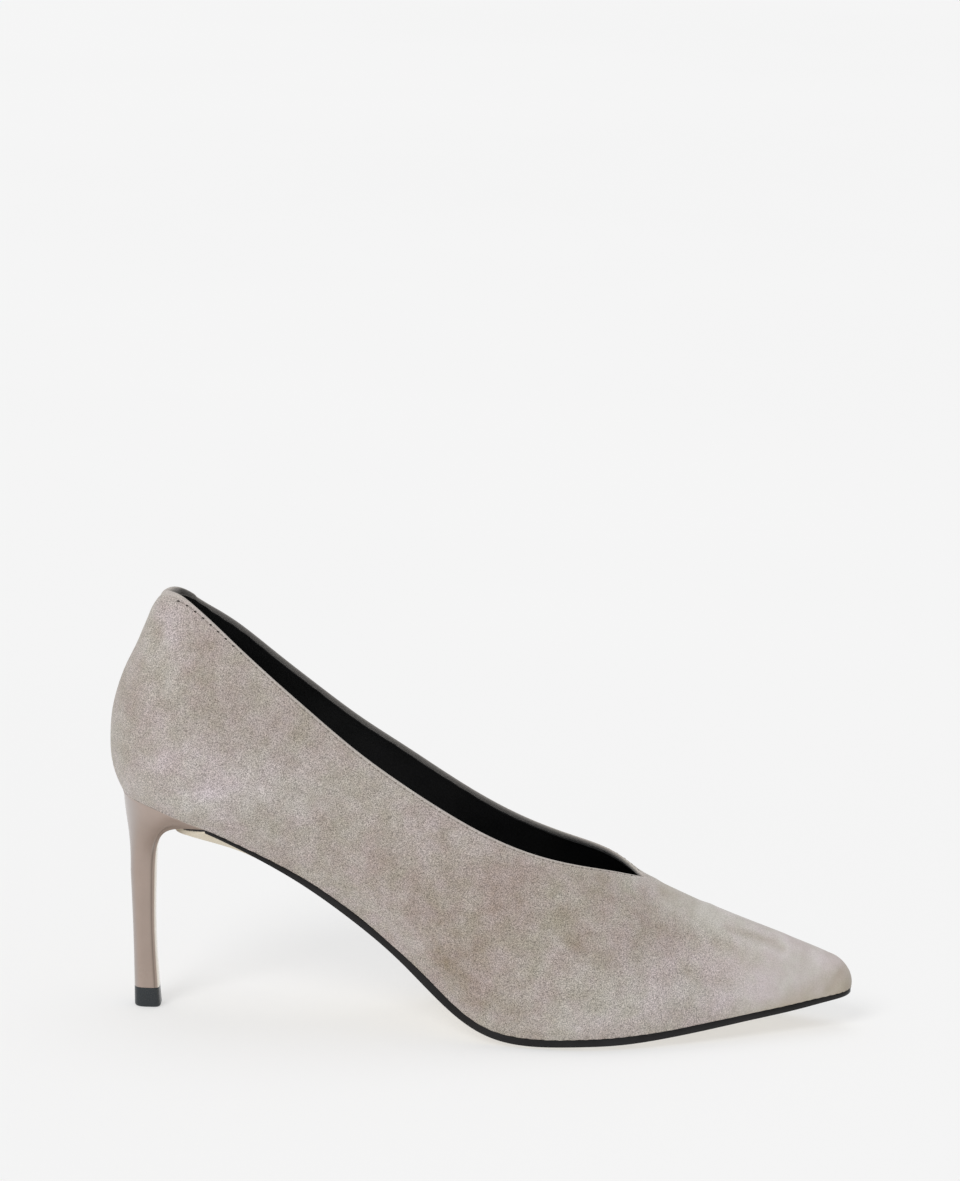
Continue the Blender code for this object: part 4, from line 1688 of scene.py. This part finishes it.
@dataclass
class ToplineStitches(Maker):
    """The row of stitches below the topline, with dark beads of painted shade for the needle holes between
    them, plainest at the back.
    """

    title = "topline_stitches"
    slot = Slot.UPPER
    finish = Thread()
    wall: Wall
    pitch: float = 3.5
    long: float = 2.9
    thick: float = 0.26
    arch: float = 0.14
    slant: float = 0.10
    dip_shade_middle: float = 0.15
    dip_shade_ends: float = 0.6
    hole_long: float = 1.15
    hole_wide: float = 0.52
    hole_high: float = 0.2
    hole_sink: float = -0.08
    rings: int = 6
    sides: int = 6
    start: float = 1.9
    end: float = 13.85
    plain_to: float = 4.8
    plain_fade: float = 1.0
    faint: float = 0.25
    tack_from: float = 13.55
    aim: float = 0.4

    def run(self) -> tuple[Array, Array, Array, Array]:
        """Places, directions, normals and stations of the stitches, evenly spaced along the seam line.

        Returns:
            Middles, unit directions, unit normals and stations.
        """
        wall = self.wall
        line, normal = wall.line(wall.seam_below)
        held = np.abs(wall.stations) <= self.end
        line, normal = line[held], normal[held]
        run = np.r_[0, np.cumsum(np.linalg.norm(np.diff(line, axis=0), axis=1))]
        at = np.arange(self.pitch, run[-1] - self.pitch / 2, self.pitch)
        at = at[np.abs(np.interp(at, run, wall.stations[held])) >= self.start]

        def read(values: Array, shift: float = 0.0) -> Array:
            """Values at the stitches, moved along the seam."""
            return np.column_stack([np.interp(at + shift, run, values[:, axis]) for axis in range(3)])

        along = unit(read(line, self.aim) - read(line, -self.aim))
        return read(line), along, unit(read(normal)), np.interp(at, run, wall.stations[held])

    def beads(self, shift: float, long: float, wide: float, high: float, sink: float) -> Array:
        """Long beads along the seam: rings that swell from nothing and back, carried over a low arch.

        Args:
            shift: how far the beads stand along the seam from the stitches' middles.
            long: their length.
            wide: their width across the seam.
            high: their thickness.
            sink: how deep their middles lie.

        Returns:
            Points by bead, ring and side.
        """
        middle, along, normal = (values[:, None, None] for values in self.run()[:3])
        across = np.cross(normal, along)
        v = np.linspace(-1, 1, self.rings + 1)[None, :, None, None]
        turn = np.linspace(0, 2 * math.pi, self.sides + 1)[None, None, :, None]
        swell = np.sqrt(np.clip(1 - v**4, 0, 1))
        rise = -sink - self.arch * v**2
        spine = middle + along * (shift + v * long / 2) + across * v * self.slant + normal * rise
        return spine + swell / 2 * (across * wide * np.cos(turn) + normal * high * np.sin(turn))

    def sheets(self) -> Sheets:
        """The threads and the holes, each marked by how much painted shade darkens it.

        Returns:
            The grids.
        """
        at = np.abs(self.run()[3])
        plain = self.faint + (1 - self.faint) * smooth((self.plain_to - at) / self.plain_fade)
        plain = np.where(at > self.tack_from, 1.0, plain)
        ends = np.linspace(-1, 1, self.rings + 1)[:, None] ** 6
        threads = self.beads(0.0, self.long, self.thick, self.thick, 0.0)
        holes = self.beads(self.pitch / 2, self.hole_long, self.hole_wide, self.hole_high, self.hole_sink)
        made = Sheets()
        # Painted shade where each thread dips in at its ends, and over the needle holes.
        for bead, share in zip(threads, plain):
            made.add(bead, flip=True, dip=(self.dip_shade_middle + ends * self.dip_shade_ends) * share)
        for bead, share in zip(holes, plain):
            made.add(bead, flip=True, dip=share)
        return made


@dataclass
class InsoleSock(Maker):
    """The black sock over the insole, from wall to wall on the last, a little fuller at the heel."""

    title = "insole_sock"
    slot = Slot.INSOLE
    nodes = ("insole",)
    finish = BlackLeather(
        "black_sock", body=(0.0080, 0.0083, 0.0088), bloom=(0.020, 0.020, 0.021), pores=1500.0, rough=0.50
    )
    wall: Wall
    lift: float = 2.4
    inset: float = 1.75
    depth: float = 1.9
    across: int = 24
    full: float = 1.1
    full_middle: float = 34.0
    full_long: float = 26.0

    def sheets(self) -> Sheets:
        """Spans rows from wall to wall, sinks them by the crown, lifts them at the heel and closes them.

        Returns:
            The grids.
        """
        wall, last = self.wall, self.wall.last
        line, normal = wall.line(wall.below[:, 0] - self.lift)
        edge = line - normal * self.inset
        middle = len(edge) // 2
        outer, inner = edge[: middle + 1][::-1], edge[middle:]
        share = np.linspace(0, 1, self.across + 1)[None, :, None]
        top = outer[:, None] * (1 - share) + inner[:, None] * share
        bowl = 1 - (2 * share[..., 0] - 1) ** 2
        full = self.full * np.exp(-(((top[..., 0] - self.full_middle) / self.full_long) ** 2))
        top[..., 2] += (full - last.side_view(top[..., 0], "crown")) * bowl
        under = top - (0, 0, self.depth)
        made = Sheets()
        made.add(top)
        made.add(under, flip=True)
        made.add(np.stack([top[:, 0], under[:, 0]], axis=1), flip=True)
        made.add(np.stack([top[:, -1], under[:, -1]], axis=1))
        return made


@dataclass
class Breast:
    """Where the outsole meets the heel: the station, and how far the middle of the joint bows back."""

    station: float = 4.45
    bow: float = 11.5
    fade: float = 34.0
    gap: float = 0.3


def plate_rows(last: Last, at: Array, bow: Array, across: int) -> Array:
    """Plan rows between the two feather edges, bowed back in their middle.

    Args:
        last: the last.
        at: stations.
        bow: how far each row bows back.
        across: spaces in a row, which crowd towards both edges.

    Returns:
        Plan points by station and place across.
    """
    right, left = last.feather_plan(-at), last.feather_plan(at)
    share = (0.5 - 0.5 * np.cos(np.linspace(0, math.pi, across + 1)))[None, :, None]
    rows = right[:, None] * (1 - share) + left[:, None] * share
    rows[..., 0] -= bow[:, None] * (1 - (2 * share[..., 0] - 1) ** 2)
    return rows


@dataclass
class Outsole(Maker):
    """The thin outsole from the toe to the heel breast, flat under the ball, with a rounded inked edge."""

    title = "inked_outsole"
    slot = Slot.OUTSOLE
    nodes = ("outsole",)
    finish = InkedSole()
    last: Last
    breast: Breast
    bevel: float = 9.0
    round_out: float = 0.22
    round_fade: float = 0.3
    steps: int = 10
    across: int = 36
    edge_rows: int = 6
    nose: float = 0.012
    bare_long: float = 40.0
    bare_gain: float = 8.0
    bare_most: float = 2.4

    def sheets(self) -> Sheets:
        """Top, tread and edges: over the bevel the thickness runs from the sole's to the edge's.

        Returns:
            The grids.
        """
        last, breast = self.last, self.breast
        count = round((last.tip - breast.station) * self.steps)
        at = np.linspace(breast.station, last.tip - self.nose, count + 1)
        start = last.feather_plan(-at)[:, 0]
        bow = breast.bow * np.clip(1 - (start - start[0]) / breast.fade, 0, 1) ** 2
        rows = plate_rows(last, at, bow, self.across)
        aside = np.minimum(rows[..., 1] - rows[:, :1, 1], rows[:, -1:, 1] - rows[..., 1])
        thin = np.clip(1 - aside / self.bevel, 0, 1) ** 2
        over = last.bottom_height(rows[..., 0], rows[..., 1]) - breast.gap
        x = rows[..., 0]
        thick = last.side_view(x, "sole") * (1 - thin) + last.side_view(x, "edge") * thin
        top = np.concatenate([rows, over[..., None]], axis=2)
        tread = np.concatenate([rows, np.maximum(over - thick, 0.0)[..., None]], axis=2)
        bare = np.clip(1 - (x - start[0]) / self.bare_long, 0, 1)
        away = np.minimum(aside * (1 + self.bare_gain * bare), self.bare_most)
        made = Sheets()
        made.add(top, from_edge=0.0)
        made.add(tread, flip=True, from_edge=away)
        v = np.linspace(0, 1, self.edge_rows + 1)[None, :, None]
        ends = smooth(np.minimum(at - at[0], at[-1] - at) / self.round_fade)[:, None, None]
        for side, place in ((Side.OUTER, 0), (Side.INNER, -1)):
            _, inward = last.feather_line(side.value * at)
            out = np.column_stack([-inward, np.zeros(len(at))])[:, None]
            edge = top[:, place, None] * (1 - v) + tread[:, place, None] * v
            edge = edge + out * self.round_out * ends * np.sin(math.pi * v)
            made.add(edge, flip=side is Side.OUTER, from_edge=0.0)
        made.add(np.stack([top[0], tread[0]], axis=1), from_edge=0.0)
        made.add(np.stack([top[-1], tread[-1]], axis=1), flip=True, from_edge=0.0)
        return made


BREAST_SQUARENESS = 4.5
BACK_SQUARENESS = 2.8


def rounded_section(row: Stem, angles: Array) -> Array:
    """A rounded section round its middle: cosine and sine taken to a root, squarer on the breast's side.

    Args:
        row: the section's height, middle, depth and width.
        angles: angles from the breast.

    Returns:
        The section's points.
    """
    cos, sin = np.cos(angles), np.sin(angles)
    power = 2 / np.where(cos > 0, BREAST_SQUARENESS, BACK_SQUARENESS)
    x = row.middle + row.depth / 2 * np.sign(cos) * np.abs(cos) ** power
    y = row.width / 2 * np.sign(sin) * np.abs(sin) ** power
    return np.column_stack([x, y, np.full(len(angles), row.height)])


class Flare(NamedTuple):
    """Handles of the flare: shares of its run and drop on leaving the seat, and of its drop at the neck."""

    leave_in: float
    leave_down: float
    arrive_up: float


@dataclass
class Heel(Maker):
    """The lacquered heel: a cupped seat, a hollow flare and a slim stem."""

    title = "lacquered_heel"
    slot = Slot.HEEL
    nodes = ("heel",)
    finish = Lacquer()
    last: Last
    breast: Breast
    half_angle: float = math.radians(48)
    side_flare: Flare = Flare(0.22, 0.34, 0.50)
    breast_flare: Flare = Flare(0.80, 0.17, 0.80)
    steps: int = 10
    across: int = 30
    flare_rings: int = 28
    stem_rings: int = 18
    arris_turn: float = 66.0
    arris_wide: float = 7.0
    arris_fade: float = 16.0
    band_shade_share: float = 0.12
    band_past: float = 2.2
    band_wide: float = 3.0
    face_turn: float = 12.0
    face_turn_low: float = 41.0
    face_wide: float = 12.0
    face_from: float = 9.0
    face_over: float = 14.0
    back_reflection_turn: float = 108.0
    back_reflection_wide: float = 36.0
    under_from: float = 0.2
    under_over: float = 0.5

    def seat(self) -> Array:
        """The seat under the bottom of the last.

        Returns:
            Points in rows across, from the breast to the back.
        """
        at = np.linspace(0, self.breast.station, round(self.breast.station * self.steps) + 1)[::-1]
        edge = self.last.feather_plan(-at)[:, 0]
        bow = self.breast.bow * (edge - edge[-1]) / (edge[0] - edge[-1])
        rows = plate_rows(self.last, at, bow, self.across)
        rows[0, :, 0] -= self.breast.gap
        height = self.last.bottom_height(rows[..., 0], rows[..., 1]) - self.breast.gap
        return np.concatenate([rows, height[..., None]], axis=2)

    def outline(self, rows: Array) -> tuple[Array, Array]:
        """The seat's edge once round from the outer corner of the breast, closed, with its angles.

        Args:
            rows: the seat's rows.

        Returns:
            Points, and their angles from the breast.
        """
        front, inner, outer = rows[0], rows[1:, -1], rows[:-1, 0][::-1]
        front_angles = np.linspace(-self.half_angle, self.half_angle, len(front))
        side_angles = np.linspace(self.half_angle, math.pi, len(inner) + 1)[1:]
        outer_angles = np.r_[side_angles[:-1][::-1], self.half_angle]
        angles = np.concatenate([front_angles, side_angles, -outer_angles])
        return np.concatenate([front, inner, outer]), angles

    def rings(self, rows: Array) -> Array:
        """Rings from the seat down: at each angle a cubic to the neck, then the stem's sections.

        The cubic leaves the breast nearly level and the sides steeply, and arrives upright at the neck.

        Args:
            rows: the seat's rows.

        Returns:
            Points by ring and angle, closed.
        """
        edge, angles = self.outline(rows)
        neck = rounded_section(STEM[0], angles)
        front = smooth(np.cos(angles) / math.cos(self.half_angle))[:, None]
        drop = (edge[:, 2] - neck[:, 2])[:, None]
        inward = (neck - edge) * (1, 1, 0)
        up = np.array([[0, 0, 1.0]])
        pairs = zip(self.side_flare, self.breast_flare)
        handles = Flare(*(side * (1 - front) + breast * front for side, breast in pairs))
        leave = edge + inward * handles.leave_in - up * drop * handles.leave_down
        arrive = neck + up * drop * handles.arrive_up
        t = np.linspace(0, 1, self.flare_rings + 1)[:, None, None]
        flare = bezier(edge[None], leave[None], arrive[None], neck[None], t)
        heights = np.linspace(STEM[0].height, STEM[-1].height, self.stem_rings + 1)[1:]
        sizes = spline(np.array(STEM)[::-1, 1:], heights, column(STEM, "height")[::-1])
        stem = [rounded_section(Stem(h, *size), angles) for h, size in zip(heights, sizes)]
        return np.concatenate([flare, np.stack(stem)])

    def marks(self, rows: Array, rings: Array) -> dict[str, Array]:
        """Marks of the lacquer on the rings.

        The arris's painted shade runs down beside the breast with a faint band past it, the breast face's
        pale painted reflection starts below the flare, the underside's painted shade is where the surface
        is nearly level, and the back's painted reflection covers the far half.

        Args:
            rows: the seat's rows.
            rings: the rings.

        Returns:
            Shares by ring and angle.
        """
        number = np.arange(len(rings))
        low = smooth(number / self.arris_fade)[:, None]
        corner = math.degrees(self.half_angle) * (1 - low) + self.arris_turn * low
        turn = np.degrees(np.abs(self.outline(rows)[1]))[None]
        past = (turn - corner) / self.arris_wide
        band = self.band_shade_share * np.exp(-(((past - self.band_past) / self.band_wide) ** 2))
        face = smooth((self.face_turn * (1 - low) + self.face_turn_low * low - turn) / self.face_wide + 0.5)
        facing = unit(np.cross(np.gradient(rings, axis=1), np.gradient(rings, axis=0)))
        return {
            # Painted shade along the arris, with a faint band past it.
            "arris": np.exp(-(past**2)) * low + band,
            # Pale painted reflection on the breast's face, fading out towards the seat.
            "breast": face * smooth((number - self.face_from) / self.face_over)[:, None],
            # Painted shade where the surface is nearly level, which also dulls the coat.
            "under": smooth((np.abs(facing[..., 2]) - self.under_from) / self.under_over),
            # Painted reflection on the back half of the heel.
            "back": smooth((turn - self.back_reflection_turn) / self.back_reflection_wide),
        }

    def sheets(self) -> Sheets:
        """Closes the rings with the seat above and a flat tip below.

        Returns:
            The grids.
        """
        rows = self.seat()
        rings = self.rings(rows)
        marks = self.marks(rows, rings)
        plain = dict.fromkeys(marks, 0.0)
        tip = np.broadcast_to(rings[-1].mean(axis=0), rings[-1].shape)
        made = Sheets()
        made.add(rows, flip=True, **plain)
        made.add(rings, **marks)
        made.add(np.stack([rings[-1], tip]), **plain)
        return made


@dataclass
class TopLift(Maker):
    """The rubber lift under the heel's tip, with a rounded tread edge."""

    title = "rubber_top_lift"
    slot = Slot.TOP_LIFT
    nodes = ("top_lift",)
    finish = Rubber()
    angles: int = 48
    gap: float = 0.05
    round_edge: float = 0.7
    round_in: float = 0.5
    rings: int = 22
    crowding: float = 1.5
    tread_fade: float = 0.8

    def sheets(self) -> Sheets:
        """Sections down the lift, drawn in at the tread by a quarter circle, closed above and below.

        Returns:
            The grids.
        """
        turn = np.linspace(-math.pi, math.pi, self.angles + 1)
        heights = (LIFT[0].height - self.gap) * (1 - np.linspace(0, 1, self.rings + 1)) ** self.crowding
        levels = LIFT[::-1]
        known = column(levels, "height")
        sizes = [np.interp(heights, known, column(levels, name)) for name in Stem._fields[1:]]
        sunk = np.clip(1 - heights / self.round_edge, 0, 1)
        pull = 2 * self.round_in * (1 - np.sqrt(1 - sunk**2))
        rows = [Stem(h, m, d - p, w - p) for h, m, d, w, p in zip(heights, *sizes, pull)]
        rings = np.stack([rounded_section(row, turn) for row in rows])
        rings[:, -1] = rings[:, 0]
        above, below = (np.broadcast_to(ring.mean(axis=0), ring.shape) for ring in (rings[0], rings[-1]))
        made = Sheets()
        made.add(rings, tread=np.exp(-heights / self.tread_fade)[:, None])
        made.add(np.stack([above, rings[0]]), tread=0.0)
        made.add(np.stack([rings[-1], below]), tread=1.0)
        return made


# The studio


@dataclass(frozen=True)
class SoftLight:
    """A broad distant light: where it stands as seen from the shoe, its strength and its spread."""

    name: str
    azimuth: float
    elevation: float
    strength: float
    spread: float

    def place(self) -> None:
        """Hangs the light so that it shines from its azimuth (0 is the camera's side) and elevation."""
        lamp = bpy.data.lights.new(self.name, "SUN")
        lamp.energy = self.strength
        lamp.angle = math.radians(self.spread)
        made = bpy.data.objects.new(self.name, lamp)
        made.rotation_euler = (math.radians(90 - self.elevation), 0.0, math.radians(self.azimuth))
        bpy.context.scene.collection.objects.link(made)


@dataclass
class Studio:
    """A pale floor, soft light from the front and above, and the camera."""

    floor_size: float = 40.0
    floor_drop: float = 0.0001
    floor_lines: int = 9
    sky: float = 0.53
    backdrop: float = 0.905
    lights: tuple[SoftLight, ...] = (
        SoftLight("key_softbox", -30.0, 40.0, 1.06, 24.0),
        SoftLight("top_softbox", 175.0, 76.0, 0.56, 46.0),
    )
    camera_place: tuple[float, float, float] = (121.7, -1545.3, 474.8)
    camera_down: float = 12.0
    camera_roll: float = 2.0
    camera_far: float = 100.0
    focal_pixels: float = 4769.2
    sensor: float = 36.0

    def build(self, last: Last, effects: Effects) -> None:
        """Sets up the floor, the light and the camera.

        Args:
            last: the last, whose layout the camera is placed in.
            effects: shared node groups.
        """
        self.lay_floor(effects)
        self.hang_lights()
        self.set_camera(last)
        bpy.context.scene.view_settings.view_transform = "Standard"

    def lay_floor(self, effects: Effects) -> None:
        """Lays a flat grid a hair below the tread.

        Args:
            effects: shared node groups.
        """
        ends = np.linspace(-self.floor_size / 2, self.floor_size / 2, self.floor_lines)
        x, y = np.meshgrid(ends, ends, indexing="ij")
        points = np.stack([x, y, np.full_like(x, -self.floor_drop)], axis=-1).reshape(-1, 3)
        mesh = bpy.data.meshes.new("studio_floor")
        mesh.from_pydata(points.tolist(), [], grid_quads(self.floor_lines, self.floor_lines).tolist())
        floor = bpy.data.objects.new("studio_floor", mesh)
        mesh.materials.append(PaleFloor().material(effects))
        bpy.context.scene.collection.objects.link(floor)

    def hang_lights(self) -> None:
        """An even white sky, seen as the backdrop's tone, and the broad lights."""
        world = bpy.data.worlds.new("studio")
        bpy.context.scene.world = world
        world.use_nodes = True
        graph = Graph(world.node_tree)
        background = world.node_tree.nodes["Background"]
        seen = graph.add("ShaderNodeLightPath").outputs["Is Camera Ray"]
        strength = graph.weigh(self.sky, (seen, self.backdrop - self.sky))
        graph.tree.links.new(strength, background.inputs["Strength"])
        background.inputs["Color"].default_value = (1.0, 1.0, 1.0, 1.0)
        for light in self.lights:
            light.place()

    def set_camera(self, last: Last) -> None:
        """Looks square on the outer side, tipped down and rolled a little, through the image's lens.

        Args:
            last: the last, whose layout the camera is placed in.
        """
        down, roll = math.radians(self.camera_down), math.radians(self.camera_roll)
        ahead = np.array([0.0, math.cos(down), -math.sin(down)])
        right = np.array([1.0, 0.0, 0.0])
        up = np.cross(right, ahead)
        turned = math.cos(roll) * right + math.sin(roll) * up
        upright = math.cos(roll) * up - math.sin(roll) * right
        place = last.place(np.array([self.camera_place]))[0]
        lens = bpy.data.cameras.new("camera")
        lens.sensor_width = self.sensor
        lens.lens = self.focal_pixels * self.sensor / IMAGE_HEIGHT
        lens.clip_end = self.camera_far
        camera = bpy.data.objects.new("camera", lens)
        turn = Matrix(np.column_stack([turned, upright, -ahead]).tolist())
        camera.matrix_world = Matrix.Translation(place.tolist()) @ turn.to_4x4()
        bpy.context.scene.collection.objects.link(camera)
        bpy.context.scene.camera = camera


def main() -> None:
    """Builds the shoe's pieces in the order they are put together, then the studio."""
    logging.basicConfig(level=logging.INFO, format="%(name)s %(message)s")
    last, breast, effects = Last(), Breast(), Effects()
    wall = Wall(last)
    makers = (
        SuedeUpper(wall),
        Lining(wall),
        ToplineStitches(wall),
        InsoleSock(wall),
        Outsole(last, breast),
        Heel(last, breast),
        TopLift(),
    )
    for maker in makers:
        maker.build(last, effects)
    Studio().build(last, effects)


if __name__ == "__main__":
    main()
